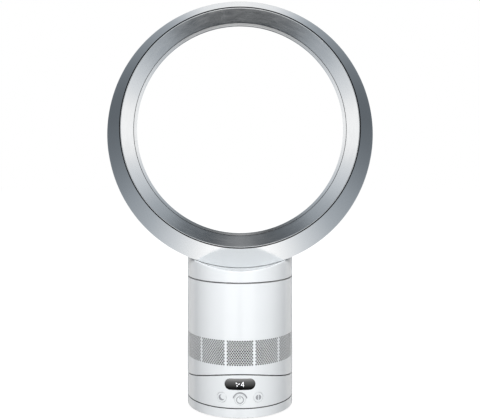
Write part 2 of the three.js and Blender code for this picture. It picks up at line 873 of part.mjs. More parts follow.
function buttonFlangeFront(radius) {
  return Math.sqrt(bodyInnerFlat ** 2 - (radius + buttonFlange) ** 2) - fitGap;
}

function buttonStemEnd(radius) {
  return buttonSwitchTop(radius) + buttonTravel + fitGap / 2;
}

// The switch cap ends where the pressed button's stem stops.
function buttonSwitchTop(radius) {
  const flangeBack = buttonFlangeFront(radius) - buttonFlangeThickness;
  return flangeBack - buttonTravel - buttonStemRadius;
}

// A switch stands on the board and points at its button along the button's axis.
function buttonSwitch(radius, height, turn) {
  const angle = radians(turn);
  const corner = switchSize / 2 * Math.abs(Math.sin(angle));
  const boardFace = (controlBoardDepth + fitGap + corner) / Math.cos(angle);
  const top = buttonSwitchTop(radius);
  const body = block(switchSize, switchSize, boardFace, boardFace + switchBody);
  const cap = rod(buttonStemRadius, boardFace + switchBody - inward, top);
  return joined([body, cap]).rotate([90, 0, 0]).translate([0, 0, height]).rotate([0, 0, turn]);
}

// ---------------------------------------------------------------- tilting motor casing

function intakeHoles() {
  const holes = [];
  const columnTurn = THREE.MathUtils.radToDeg(intakeColumnPitch / bodyRadius);
  for (let panel = 0; panel < intakePanels; panel++) {
    for (let row = 0; row < intakeRows; row++) {
      const columns = intakeWideRow - (row % 2);
      const height = intakeMiddle + (row - (intakeRows - 1) / 2) * intakeRowPitch;
      for (let column = 0; column < columns; column++) {
        const turn = (panel * 360) / intakePanels + (column - (columns - 1) / 2) * columnTurn;
        holes.push(block(intakeHole, through, -intakeHole / 2, intakeHole / 2)
          .rotate([0, 45, 0])
          .translate([0, -bodyRadius, height])
          .rotate([0, 0, turn]));
      }
    }
  }
  return wasm.Manifold.compose(holes);
}

function mainCasing() {
  const wall = turned([
    [bodyInner, 0],
    [bodyRadius, 0],
    [bodyRadius, casingTop - edgeChamfer],
    [bodyRadius - edgeChamfer, casingTop],
    [bodyInner, casingTop],
  ], bodySides).intersect(tiltBarrel(mainSeamRadius));
  const plateLedge = arcPlate(
    tiltPlateRadius - fitGap - ledgeThickness, tiltPlateRadius - fitGap, ledgeRadius, bodyInner + inward,
  );
  const housingLedge = tube(
    bodyInner - housingLedgeWidth, bodyInner + inward,
    housingLedgeHeight, housingLedgeHeight + ledgeThickness,
  );
  const topLedge = tube(
    ledgeRadius, bodyInner + inward,
    topRingBottom - fitGap - ledgeThickness, topRingBottom - fitGap,
  );
  return joined([wall.subtract(intakeHoles()), plateLedge, housingLedge, topLedge]);
}

const plateLedgeRise = Math.sqrt(tiltPlateRadius ** 2 - ledgeRadius ** 2) - ledgeThickness - 2 * fitGap;
const foamBottom = tiltAxisHeight - plateLedgeRise;

function tiltPlate() {
  const plate = arcPlate(tiltPlateRadius, mainSeamRadius, 0, plateRadius);
  const rib = tube(foamRibRadius - foamRibWall, foamRibRadius, 0, foamBottom - fitGap)
    .intersect(tiltBarrel(tiltPlateRadius + inward));
  return joined([plate, rib]).subtract(rod(wireHoleRadius, 0, tiltAxisHeight));
}

// A hook hangs from the tilt plate through the cradle's slot and grips it from below.
function tiltHook(side) {
  const stem = block(hookStemWidth, hookLength, 0, tiltAxisHeight, side * hookOffset, 0)
    .intersect(tiltBarrel(cradleRadius + fitGap + inward))
    .subtract(tiltBarrel(mainSeamRadius + fitGap));
  const head = block(hookHeadWidth, hookLength, 0, tiltAxisHeight, side * hookOffset, 0)
    .intersect(tiltBarrel(cradleRadius + fitGap + hookHeadThickness))
    .subtract(tiltBarrel(cradleRadius + fitGap));
  return joined([stem, head]);
}

function silencerFoam() {
  return tube(foamHole, ledgeRadius - fitGap, foamBottom, foamBottom + foamThickness);
}

function isolatorRing() {
  const inner = bodyInner - housingLedgeWidth + inward;
  const bottom = housingLedgeHeight + ledgeThickness + fitGap;
  return tube(inner, inner + isolatorWidth, bottom, bottom + isolatorThickness);
}

// Inside radius of the impeller housing at a height between its inlet and its wide part.
function shroudRadius(height) {
  const share = (height - housingInletHeight) / (housingWideHeight - housingInletHeight);
  const rise = Math.sin(THREE.MathUtils.clamp(share, 0, 1) * Math.PI / 2);
  return inletRadius + (housingRadius - inletRadius) * rise;
}

function impellerHousing() {
  const inside = [];
  for (let step = 0; step <= curveSteps; step++) {
    const height = THREE.MathUtils.lerp(housingInletHeight, housingWideHeight, step / curveSteps);
    inside.push([shroudRadius(height), height]);
  }
  inside.push([housingRadius, housingTop]);
  const outside = inside.map(([radius, height]) => [radius + housingWall, height]).toReversed();
  const shell = turned([...inside, ...outside]);
  const flangeOuter = bodyInner - housingLedgeWidth + inward + isolatorWidth;
  const flange = tube(
    shroudRadius(housingSeat) + inward, flangeOuter, housingSeat, housingSeat + housingWall,
  );
  return joined([shell, flange]);
}

function bellmouth() {
  const outline = [];
  for (let step = 0; step <= curveSteps; step++) {
    const turn = (step / curveSteps) * Math.PI / 2;
    const radius = inletRadius + bellmouthFlare * (1 - Math.sin(turn));
    const height = housingInletHeight - fitGap - bellmouthRise * Math.cos(turn);
    outline.push([radius, height]);
  }
  const back = outline.map(([radius, height], i) => {
    const turn = (i / curveSteps) * Math.PI / 2;
    return [radius + bellmouthWall * Math.sin(turn), height + bellmouthWall * Math.cos(turn)];
  });
  back[0] = [back[0][0], outline[0][1] + bellmouthWall];
  return turned([...outline, ...back.toReversed()]);
}

function impeller() {
  const hubRadius = (share) => impellerNoseRadius
    + (impellerHubRadius - impellerNoseRadius) * Math.sin(share * Math.PI / 2);
  const bore = shaftRadius + fitGap;
  const noseBottom = bladeBottom - impellerNose;
  const outline = [[bore, noseBottom], [impellerNoseRadius - impellerNose, noseBottom]];
  for (let step = 0; step <= curveSteps; step++) {
    const share = step / curveSteps;
    outline.push([hubRadius(share), bladeBottom + share * bladeHeight]);
  }
  outline.push([impellerHubRadius - bladeThickness, bladeTop]);
  outline.push([bore + bladeThickness, bladeTop - bladeThickness]);
  outline.push([bore, bladeTop - bladeThickness]);
  const hub = turned(outline);
  const blades = aroundZ(bladeCount, (i, turn) => {
    const sections = [];
    for (let step = 0; step <= bladeSteps; step++) {
      const share = step / bladeSteps;
      const height = THREE.MathUtils.lerp(bladeBottom + fitGap, bladeTop - fitGap, share);
      const inner = hubRadius(share) - bladeThickness;
      const outer = shroudRadius(height) - bladeClearance;
      sections.push(bladeSection(inner, outer, height, share * bladeTwist, bladeThickness));
    }
    return loft(sections).rotate([0, 0, turn]);
  });
  return joined([hub, ...blades]);
}

// Four corners of a radial blade at one height, turned about Z by some degrees.
function bladeSection(inner, outer, height, turn, thickness) {
  const corners = [[inner, -1], [outer, -1], [outer, 1], [inner, 1]];
  return corners.map(([radius, side]) => {
    const angle = radians(turn);
    const across = side * thickness / 2;
    return new THREE.Vector3(
      radius * Math.cos(angle) - across * Math.sin(angle),
      radius * Math.sin(angle) + across * Math.cos(angle),
      height,
    );
  });
}

const rotorBottom = bucketBottom + bucketWall + fitGap + bearingHeight + fitGap;
const rotorTop = rotorBottom + rotorHeight;
const upperBearingBottom = rotorTop + fitGap;
const shaftTop = upperBearingBottom + bearingHeight;

function motorRotor() {
  return turned([
    [0, bladeBottom],
    [shaftRadius, bladeBottom],
    [shaftRadius, rotorBottom],
    [rotorRadius, rotorBottom],
    [rotorRadius, rotorTop],
    [shaftRadius, rotorTop],
    [shaftRadius, shaftTop],
    [0, shaftTop],
  ]);
}

function motorStator() {
  const bottom = (rotorBottom + rotorTop - statorHeight) / 2;
  const top = bottom + statorHeight;
  const poleLength = (statorOuter - statorInner) / 2 + inward;
  const ring = tube((statorInner + statorOuter) / 2, statorOuter, bottom, top);
  const pole = block(poleLength, statorInner, bottom, top, statorInner + poleLength / 2, 0);
  const poles = aroundZ(poleCount, (i, turn) => pole.rotate([0, 0, turn]));
  const rotorRoom = rod(rotorRadius + runGap, 0, casingTop, 0, 0, innerSides);
  return joined([ring, ...poles]).subtract(rotorRoom);
}

function bearing(bottom) {
  return tube(shaftRadius + fitGap, bearingRadius, bottom, bottom + bearingHeight);
}

// Lower half of the motor bucket: a cup whose floor holds the lower bearing.
function bucketLower() {
  const bearingRoom = bearingRadius + fitGap;
  const statorSeat = (rotorBottom + rotorTop) / 2 - statorHeight / 2 - fitGap;
  return turned([
    [shaftRadius + runGap, bucketBottom],
    [bucketRadius, bucketBottom],
    [bucketRadius, bucketSplit],
    [bucketRadius - bucketWall, bucketSplit],
    [bucketRadius - bucketWall, statorSeat],
    [statorOuter - bucketWall, statorSeat],
    [statorOuter - bucketWall, bucketBottom + bucketWall],
    [bearingRoom + bearingWall, bucketBottom + bucketWall],
    [bearingRoom + bearingWall, rotorBottom - 2 * fitGap],
    [bearingRoom, rotorBottom - 2 * fitGap],
    [bearingRoom, bucketBottom + bucketWall],
    [shaftRadius + runGap, bucketBottom + bucketWall],
  ]);
}

// Upper half: a cone that closes the bucket, with a web across for the upper bearing.
function bucketUpper() {
  const bottom = bucketSplit + fitGap;
  const outside = [];
  for (let step = 0; step <= curveSteps; step++) {
    const turn = (step / curveSteps) * Math.PI / 2;
    const radius = bucketCapRadius + (bucketRadius - bucketCapRadius) * Math.cos(turn);
    outside.push([radius, bottom + (bucketTop - bottom) * Math.sin(turn)]);
  }
  const inside = outside.map(([radius, height]) => [radius - bucketWall, height]).toReversed();
  const cone = turned([...outside, ...inside]);
  const bearingRoom = bearingRadius + fitGap;
  const web = turned([
    [bearingRoom, upperBearingBottom],
    [bearingRoom + bearingWall, upperBearingBottom],
    [bearingRoom + bearingWall, bottom + bearingWall],
    [bucketRadius - bucketWall / 2, bottom + bearingWall],
    [bucketRadius - bucketWall / 2, bottom + 2 * bearingWall],
    [bearingRoom, bottom + 2 * bearingWall],
  ]);
  return joined([cone, web]);
}

function diffuser() {
  const bottom = bucketSplit - vaneHeight;
  const innerRing = bucketRadius + fitGap;
  const outerRing = housingRadius - fitGap;
  const rings = [
    tube(innerRing, innerRing + diffuserRing, bottom, bucketSplit),
    tube(outerRing - diffuserRing, outerRing, bottom, bucketSplit),
  ];
  const vanes = aroundZ(vaneCount, (i, turn) => {
    const sections = [];
    for (let step = 0; step <= bladeSteps; step++) {
      const share = step / bladeSteps;
      sections.push(bladeSection(
        innerRing + diffuserRing / 2, outerRing - diffuserRing / 2,
        bottom + share * vaneHeight, vaneTwist * (1 - share) ** 2, vaneThickness,
      ));
    }
    return loft(sections).rotate([0, 0, turn]);
  });
  return joined([...rings, ...vanes]);
}

// A soft sleeve that leads the air from the housing into the neck's spigot.
function outletSleeve() {
  const bottom = housingTop + fitGap;
  const top = spigotBottom - fitGap;
  return turned([
    [housingRadius, bottom],
    [housingRadius + housingWall, bottom],
    [spigotOuter, top - sleeveLip],
    [spigotOuter, top],
    [spigotRadius, top],
    [spigotRadius, top - sleeveLip + sleeveWall],
    [housingRadius, bottom + sleeveWall],
  ]);
}

function bodyTopRing() {
  const ring = tube(spigotOuter + fitGap, plateRadius, topRingBottom, topRingTop);
  const entryAngle = lugAngle + lugPlay;
  const entries = aroundZ(lugCount, (i, turn) => lugAt(turn + entryAngle, entryAngle, through));
  return ring.subtract(joined(entries));
}

// A bayonet lug that stands out of the spigot over some degrees.
function lugAt(turn, angle, height) {
  const half = radians(angle / 2);
  const reach = spigotOuter + lugReach;
  const shape = arcBand(spigotOuter - inward, reach, -half, half);
  return raised(shape, lugTop - lugHeight, lugTop - lugHeight + height).rotate([0, 0, turn]);
}

function nozzleGasket() {
  const outer = plateRadius - ledgeWidth / 2;
  return tube(spigotOuter + fitGap, outer, casingTop, spigotFlangeBottom - fitGap);
}

// ---------------------------------------------------------------- neck and ring

function nozzleSpigot() {
  const wall = tube(spigotRadius, spigotOuter, spigotBottom, spigotTop);
  const flangeTop = spigotFlangeBottom + spigotFlange;
  const flange = tube(spigotOuter - inward, plateRadius, spigotFlangeBottom, flangeTop);
  const lugs = aroundZ(lugCount, (i, turn) => lugAt(turn, lugAngle, lugHeight));
  return joined([wall, flange, ...lugs]);
}

// A cylinder along Y on the axis of the ring's outside.
function ringBarrel(radius) {
  const geometry = new THREE.CylinderGeometry(radius, radius, bodyRadius * 2 + through, seamSides);
  return solidOf(geometry).translate([0, 0, outsideHeight]);
}

function riserOpening(growth) {
  return block(
    riserWidth + 2 * growth, riserDepth + 2 * growth,
    neckBottom, boreHeight - lipRadius, 0, riserMiddle,
  );
}

function neck() {
  const outside = turned([
    [0, neckBottom],
    [bodyRadius - edgeChamfer, neckBottom],
    [bodyRadius, neckBottom + edgeChamfer],
    [bodyRadius, outsideHeight],
    [0, outsideHeight],
  ], bodySides).subtract(ringBarrel(saddleRadius));
  const inside = rod(bodyInner, 0, outsideHeight, 0, 0, bodySides)
    .subtract(ringBarrel(saddleRadius + deckThickness));
  const ledgeBottom = spigotFlangeBottom + spigotFlange + fitGap;
  const ledge = tube(ledgeRadius, bodyInner + inward, ledgeBottom, ledgeBottom + ledgeThickness);
  return joined([outside.subtract(inside), ledge]).subtract(riserOpening(fitGap));
}

function riserDuct() {
  const deckUnderside = outsideHeight - saddleRadius - deckThickness;
  const top = outsideHeight - ringRadius + ringWall + riserReach;
  const flangeTop = deckUnderside - fitGap;
  const wall = block(riserWidth, riserDepth, flangeTop - riserWall, top, 0, riserMiddle);
  const flange = block(
    riserWidth + 2 * riserFlange, riserDepth + 2 * riserFlange,
    flangeTop - riserWall, flangeTop, 0, riserMiddle,
  );
  const way = block(
    riserWidth - 2 * riserWall, riserDepth - 2 * riserWall, neckBottom, boreHeight, 0, riserMiddle,
  );
  return joined([wall, flange]).subtract(way);
}

// A closed ring section swept round the bore. A point's third number is how much of the drop
// from the bore's axis to the outside's axis it takes.
function sweptRing(section) {
  const sections = aroundZ(ringSides, (i, turn) => section.map(([radius, depth, share]) => new THREE.Vector3(
    radius * Math.sin(radians(turn)),
    depth,
    boreHeight - share * ringDrop + radius * Math.cos(radians(turn)),
  )));
  return loft(sections, true);
}

// The outer casing's skin from the front lip over the outside and the back to the inward curl.
function ringSkin() {
  const corner = ringRadius - lipRadius + ringFront;
  const front = new THREE.Path();
  front.moveTo(lipRadius, ringFront);
  front.lineTo(ringRadius - bevelRound * Math.SQRT1_2, corner - bevelRound * Math.SQRT1_2);
  front.quadraticCurveTo(ringRadius, corner, ringRadius, corner + bevelRound);
  const back = new THREE.Path();
  back.moveTo(ringRadius, backStart);
  back.bezierCurveTo(
    ringRadius, (backStart + 2 * ringBack) / 3,
    (ringRadius + backRadius) / 2, ringBack,
    backRadius, ringBack,
  );
  back.bezierCurveTo(
    (backRadius + throatRadius) / 2, ringBack,
    throatRadius, (ringBack + throatDepth) / 2,
    throatRadius, throatDepth,
  );
  const frontShare = (radius) => (radius - lipRadius) / (ringRadius - lipRadius);
  const backShare = (radius) => (radius - throatRadius) / (ringRadius - throatRadius);
  return [
    ...front.getPoints(curveSteps).map((point) => [point.x, point.y, frontShare(point.x)]),
    ...back.getPoints(curveSteps).map((point) => [point.x, point.y, backShare(point.x)]),
  ];
}

// The same line moved inwards by a wall; its own ends are left out.
function insideOf(line, wall) {
  return line.slice(1, -1).map(([radius, depth, share], i) => {
    const before = line[i];
    const after = line[i + 2];
    const along = new THREE.Vector2(after[0] - before[0], after[1] - before[1]).normalize();
    return [radius - along.y * wall, depth + along.x * wall, share];
  });
}

function ringOuterCasing() {
  const skin = ringSkin();
  const inside = insideOf(skin, ringWall);
  const curl = [
    [throatRadius, lipEnd, 0],
    [throatRadius + lipEdge, lipEnd, 0],
    [throatRadius + ringWall, throatDepth, 0],
  ];
  const lipBack = [lipRadius, ringFront + ringWall * Math.SQRT2, 0];
  const section = [...skin, ...curl, ...inside.toReversed(), lipBack];
  return sweptRing(section).subtract(riserOpening(fitGap));
}

const rampOuter = lipRadius - lipGroove;
const rampFront = rampOuter - frontEdge;
const noseRadius = throatRadius + lipEdge + slotWidth;

// The inner casing: a ramp that opens forwards from a rounded nose behind the air slot.
function ringInnerCasing() {
  const straightEnd = rampFront - rampSlope * (rampStraightEnd - ringFront);
  const ramp = new THREE.Path();
  ramp.moveTo(rampFront, ringFront);
  ramp.lineTo(straightEnd, rampStraightEnd);
  ramp.quadraticCurveTo(noseRadius, rampStraightEnd / 2, noseRadius, lipEnd);
  const surface = ramp.getPoints(curveSteps).map((point) => [point.x, point.y, 0]);
  const noseEnd = lipEnd + noseLength;
  const nose = [
    [noseRadius + rampWall / 4, noseEnd - rampWall / 2, 0],
    [noseRadius + rampWall, noseEnd, 0],
    [noseRadius + 2 * rampWall, noseEnd - rampWall / 2, 0],
  ];
  const seatEnd = ringFront + (rampWall - frontEdge) / rampSlope;
  const back = surface.slice(1).map(([radius, depth]) => [radius + rampWall, depth, 0]).toReversed();
  const section = [...surface, ...nose, ...back, [rampOuter, seatEnd, 0], [rampOuter, ringFront, 0]];
  return sweptRing(section);
}

function lipSeal() {
  const inner = rampOuter + fitGap;
  const outer = inner + sealWidth;
  const drop = ringDrop * (outer - lipRadius) / (ringRadius - lipRadius);
  const front = ringFront + ringWall * Math.SQRT2 + outer - lipRadius + drop + 3 * fitGap;
  const back = front + sealDepth;
  return sweptRing([[inner, front, 0], [outer, front, 0], [outer, back, 0], [inner, back, 0]]);
}

// ---------------------------------------------------------------- assembly

function footGroup() {
  const group = groupOf(
    piece('foot_shell', footShell(), 'glossWhite'),
    piece('base_plate', basePlate(), 'steel'),
    piece('glide_ring', glideRing(), 'greyPlastic'),
    piece('fixed_gear', fixedGear(), 'greyPlastic'),
    piece('post_clip', postClip(), 'steel'),
    piece('power_inlet', powerInlet(), 'darkPlastic'),
  );
  aroundZ(padCount, (i, turn) => {
    const mesh = piece(`foot_pad_${i + 1}`, pad(), 'rubber');
    const angle = radians(turn + 180 / padCount);
    mesh.position.set(padCircle * Math.cos(angle), padCircle * Math.sin(angle), 0);
    group.add(mesh);
  });
  aroundZ(baseScrewCount, (i, turn) => {
    const mesh = piece(`base_screw_${i + 1}`, screw(), 'steel');
    const angle = radians(turn - 90);
    const height = basePlateBottom - fitGap;
    mesh.position.set(baseScrewCircle * Math.cos(angle), baseScrewCircle * Math.sin(angle), height);
    group.add(mesh);
  });
  return group;
}

function controlGroup() {
  const group = groupOf(
    piece('turntable', turntable(), 'greyPlastic'),
    piece('control_casing', controlCasing(), 'glossWhite'),
    piece('tilt_cradle', tiltCradle(), 'greyPlastic'),
    piece('glide_strip_left', glideStrip(-1), 'greyPlastic'),
    piece('glide_strip_right', glideStrip(1), 'greyPlastic'),
    piece('swing_motor', swingMotor(), 'steel'),
    piece('display_lens', displayLens(), 'darkPlastic'),
    piece('display_module', displayModule(), 'greyPlastic'),
    piece('control_board', controlBoard(), 'board'),
    piece('power_board', powerBoard(), 'board'),
    piece('ir_receiver', irReceiver(), 'darkPlastic'),
    piece('status_light', statusLight(), 'greyPlastic'),
    piece('power_switch', buttonSwitch(powerButtonRadius, powerButtonHeight, 0), 'darkPlastic'),
    piece('sleep_switch', buttonSwitch(sideButtonRadius, sideButtonHeight, -sideButtonAngle), 'darkPlastic'),
    piece('swing_switch', buttonSwitch(sideButtonRadius, sideButtonHeight, sideButtonAngle), 'darkPlastic'),
  );
  const pinion = piece('swing_pinion', swingPinion(), 'greyPlastic');
  pinion.position.set(0, pinionDistance, 0);
  group.add(pinion);
  const places = [
    ['power_button', powerButtonRadius, powerButtonHeight, 0],
    ['sleep_button', sideButtonRadius, sideButtonHeight, -sideButtonAngle],
    ['swing_button', sideButtonRadius, sideButtonHeight, sideButtonAngle],
  ];
  for (const [name, radius, height, turn] of places) {
    const mesh = piece(name, button(radius), 'glossWhite');
    mesh.position.set(0, 0, height);
    mesh.rotation.set(0, 0, radians(turn));
    group.add(mesh);
  }
  return group;
}

function motorGroup() {
  return groupOf(
    piece('main_casing', mainCasing(), 'glossWhite'),
    piece('tilt_plate', tiltPlate(), 'greyPlastic'),
    piece('tilt_hook_left', tiltHook(-1), 'steel'),
    piece('tilt_hook_right', tiltHook(1), 'steel'),
    piece('silencer_foam', silencerFoam(), 'foam'),
    piece('isolator_ring', isolatorRing(), 'rubber'),
    piece('impeller_housing', impellerHousing(), 'greyPlastic'),
    piece('bellmouth', bellmouth(), 'greyPlastic'),
    piece('impeller', impeller(), 'greyPlastic'),
    piece('motor_rotor', motorRotor(), 'steel'),
    piece('motor_stator', motorStator(), 'copper'),
    piece('lower_bearing', bearing(bucketBottom + bucketWall + fitGap), 'steel'),
    piece('upper_bearing', bearing(upperBearingBottom), 'steel'),
    piece('motor_bucket_lower', bucketLower(), 'greyPlastic'),
    piece('motor_bucket_upper', bucketUpper(), 'greyPlastic'),
    piece('diffuser', diffuser(), 'greyPlastic'),
    piece('outlet_sleeve', outletSleeve(), 'rubber'),
    piece('body_top_ring', bodyTopRing(), 'greyPlastic'),
    piece('nozzle_gasket', nozzleGasket(), 'rubber'),
  );
}

function ringGroup() {
  return groupOf(
    piece('nozzle_spigot', nozzleSpigot(), 'greyPlastic'),
    piece('neck', neck(), 'glossWhite'),
    piece('riser_duct', riserDuct(), 'greyPlastic'),
    piece('ring_outer_casing', ringOuterCasing(), 'silver'),
    piece('ring_inner_casing', ringInnerCasing(), 'silver'),
    piece('lip_seal', lipSeal(), 'rubber'),
  );
}

const fan = new THREE.Group();
fan.add(footGroup(), controlGroup(), motorGroup(), ringGroup());

export default fan;
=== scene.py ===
"""The looks of a bladeless desk fan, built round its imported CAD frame.

Lengths in this file are in millimetres and are turned into metres when a mesh is made.
The body is round about Z, its front faces -Y, and angles round it start at the front.
"""

import json
import math

import bpy
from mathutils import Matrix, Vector
from mathutils.geometry import delaunay_2d_cdt


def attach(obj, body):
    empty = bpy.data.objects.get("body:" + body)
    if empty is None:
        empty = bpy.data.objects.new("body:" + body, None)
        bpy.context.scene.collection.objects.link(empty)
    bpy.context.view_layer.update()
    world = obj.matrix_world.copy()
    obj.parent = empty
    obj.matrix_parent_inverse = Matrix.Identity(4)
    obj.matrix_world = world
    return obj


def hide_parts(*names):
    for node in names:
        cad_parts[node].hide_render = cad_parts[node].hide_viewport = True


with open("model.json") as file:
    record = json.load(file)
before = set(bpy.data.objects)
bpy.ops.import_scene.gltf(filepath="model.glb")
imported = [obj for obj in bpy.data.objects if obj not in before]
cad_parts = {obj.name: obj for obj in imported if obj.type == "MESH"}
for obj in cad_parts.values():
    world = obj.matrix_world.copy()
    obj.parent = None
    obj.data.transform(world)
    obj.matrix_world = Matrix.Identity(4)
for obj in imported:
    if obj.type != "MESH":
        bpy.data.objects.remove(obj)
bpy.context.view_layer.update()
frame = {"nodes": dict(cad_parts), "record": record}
scene = bpy.context.scene

# ---- sizes, as in the CAD part but for finer intake holes and a narrower air slot

MM = 0.001  # in metres
BODY = 73.0  # the round body's outside radius
WALL = 2.5
INNER = BODY - WALL
FIT = 0.3
PLATE = INNER - FIT
CAD_SIDES = 40  # of the faceted body in the CAD

FOOT_BOTTOM, FOOT_TOP = 1.0, 13.1
DECK_UNDER, GROOVE_INNER, GROOVE_OUTER, GROOVE_FLOOR = 10.6, 57.7, 65.3, 11.8
POST_INNER, POST_OUTER, POST_TOP = 9.0, 12.0, 25.2
POST_GROOVE, POST_GROOVE_LOW, POST_GROOVE_HIGH = 11.0, 22.5, 24.3
PAD_HEIGHT, PAD_RADIUS, PAD_CIRCLE, PAD_DISH = 1.2, 7.0, 56.0, 0.12
BASE_BOTTOM, BASE_TOP, BASE_GROOVE = 1.5, 3.5, 0.5
INLET_WIDTH, INLET_BOTTOM, INLET_TOP, INLET_CORNER = 18.0, 3.8, 10.3, 0.8

CONTROL_BOTTOM = 14.0
TILT_AXIS = 238.0
CONTROL_SEAM, MAIN_SEAM = 194.7, 193.3
DISPLAY_HEIGHT, DISPLAY_WIDTH, DISPLAY_TALL, DISPLAY_RIM = 45.5, 41.0, 15.0, 1.2
POWER_HEIGHT, POWER_RADIUS = 25.1, 7.0
SIDE_HEIGHT, SIDE_RADIUS, SIDE_ANGLE = 27.3, 6.4, 19.5
FLANGE, FLANGE_THICK, STEM, SWITCH_REACH = 1.2, 1.5, 2.0, 2.0
ARC_INNER, ARC_WIDTH, ARC_START = 8.1, 1.8, 12.0
SHELL_EDGE, CASING_EDGE = 0.25, 0.6

CASING_TOP = 178.5
PANELS = 12
COLUMN_TURN = 1.3  # degrees between a full row's column and a staggered one
FULL_COLUMNS, FULL_ROWS = 11, 8
ROW_LOW, ROW_HIGH = 71.0, 102.1
HOLE, HOLE_SIDES = 1.25, 10

NECK_BOTTOM, NECK_EDGE, NECK_SIDES = 179.5, 0.5, 240
SADDLE, DECK_ROUND = 179.0, 55.0
RISER_WIDTH, RISER_DEPTH, RISER_MIDDLE = 80.6, 40.6, -10.0
OUTSIDE_HEIGHT, BORE_HEIGHT = 373.5, 382.3  # of the middles of the ring's outside and bore
RING, LIP, THROAT, BACK = 178.5, 159.2, 147.2, 162.0
RING_FRONT, RING_BACK, BACK_START, THROAT_DEPTH, LIP_END = -61.6, 38.0, 8.0, 18.0, 10.0
BEVEL_ROUND, RING_WALL, LIP_EDGE, LIP_BREAK = 1.5, 2.2, 2.4, 0.4
RAMP_OUTER, RAMP_FRONT, NOSE = 158.0, 157.0, 149.9
RAMP_SLOPE, RAMP_WALL, NOSE_LENGTH = 0.108, 1.9, 7.0
THROAT_END, THROAT_LINE = 25.0, 0.3
SEAL_WIDTH, SEAL_LENGTH, SEAL_GAP = 1.8, 4.0, 0.4

# ---- camera

camera_data = bpy.data.cameras.new("camera")
camera_data.lens = 57.66
camera_data.sensor_width = 36.0
camera_data.shift_y = -0.0785
camera = bpy.data.objects.new("camera", camera_data)
camera.location = (0.0, -1.0751, 0.3506)
camera.rotation_euler = (math.radians(88.5), 0.0, 0.0)
scene.collection.objects.link(camera)
scene.camera = camera

# ---- materials


def cool(level, share=0.0):
    """A grey, and with a share the bluer the darker it is."""
    shift = share * max(0.0, 1.0 - level)
    return (level * (1.0 - shift), level, level * (1.0 + shift), 1.0)


class Graph:
    """A material's or the world's nodes, with short ways to add the ones used here."""

    def __init__(self, owner):
        owner.use_nodes = True
        self.tree = owner.node_tree
        self.tree.nodes.clear()

    def node(self, kind, inputs=None, **settings):
        made = self.tree.nodes.new(kind)
        for name, value in settings.items():
            setattr(made, name, value)
        for socket, value in (inputs or {}).items():
            self.put(value, made.inputs[socket])
        return made

    def put(self, value, socket):
        if isinstance(value, bpy.types.NodeSocket):
            self.tree.links.new(value, socket)
        else:
            socket.default_value = value

    def math(self, operation, *values):
        made = self.node("ShaderNodeMath", operation=operation)
        for i, value in enumerate(values):
            self.put(value, made.inputs[i])
        return made.outputs[0]

    def spread(self, value, low, high, start, end, smooth=False):
        """Maps low..high onto start..end, held at the ends."""
        kind = "SMOOTHSTEP" if smooth else "LINEAR"
        made = self.node("ShaderNodeMapRange", interpolation_type=kind)
        for i, number in enumerate((value, low, high, start, end)):
            self.put(number, made.inputs[i])
        return made.outputs[0]

    def blend(self, share, first, second):
        made = self.node("ShaderNodeMix", data_type="RGBA")
        self.put(share, made.inputs[0])
        self.put(first, made.inputs[6])
        self.put(second, made.inputs[7])
        return made.outputs[2]

    def ramp(self, value, stops, share=0.14):
        """Levels at stops from 0 to 1, cooler where they are darker."""
        made = self.node("ShaderNodeValToRGB")
        self.put(value, made.inputs[0])
        ends = made.color_ramp.elements
        for end, (position, level) in zip(ends, (stops[0], stops[-1])):
            end.position = position
            end.color = cool(level, share)
        for position, level in stops[1:-1]:
            ends.new(position).color = cool(level, share)
        return made.outputs[0]

    def times(self, *values):
        made = values[0]
        for value in values[1:]:
            made = self.math("MULTIPLY", made, value)
        return made

    def reach(self, first, second):
        """The length of a flat vector, never quite nothing."""
        square = self.math("ADD", self.times(first, first), self.times(second, second))
        return self.math("SQRT", self.math("MAXIMUM", square, 0.0001))

    def looked_through(self, rays):
        """1 for rays that come from the camera, straight or through something clear."""
        return self.math("MAXIMUM", rays["Is Camera Ray"], rays["Is Transmission Ray"])

    def place(self):
        return self.node("ShaderNodeTexCoord").outputs["Object"]

    def noise(self, scale, detail):
        inputs = {"Vector": self.place(), "Scale": scale, "Detail": detail}
        return self.node("ShaderNodeTexNoise", inputs).outputs[0]

    def bump(self, height, strength, distance):
        inputs = {"Height": height, "Strength": strength, "Distance": distance}
        return self.node("ShaderNodeBump", inputs).outputs[0]


DRIFT, SMEAR, GRAIN_DETAIL = (14.0, 3.0), (60.0, 4.0), 2.0  # noise scales and details


def surface(name, light, dark, roughness, grain, metal=0.0, coat=0.0, extra=None, **sockets):
    """A moulded or painted surface.

    Its colour drifts between two near shades, its roughness between two values, and its
    grain is (noise scale, strength, depth in metres).
    """
    material = bpy.data.materials.new(name)
    graph = Graph(material)
    drift = graph.spread(graph.noise(*DRIFT), 0.35, 0.65, 0.0, 1.0)
    shade = graph.blend(drift, (*dark, 1), (*light, 1))
    rough = graph.spread(graph.noise(*SMEAR), 0.3, 0.7, *roughness)
    scale, strength, depth = grain
    bump = graph.bump(graph.noise(scale, GRAIN_DETAIL), strength, depth)
    shader = graph.node("ShaderNodeBsdfPrincipled", {
        "Base Color": shade, "Roughness": rough, "Normal": bump, "Metallic": metal,
    })
    shader.inputs["Coat Weight"].default_value = coat
    for socket, value in sockets.items():
        shader.inputs[socket.replace("_", " ")].default_value = value
    if extra:
        extra(graph, shader, shade)
    graph.node("ShaderNodeOutputMaterial", {0: shader.outputs[0]})
    return material


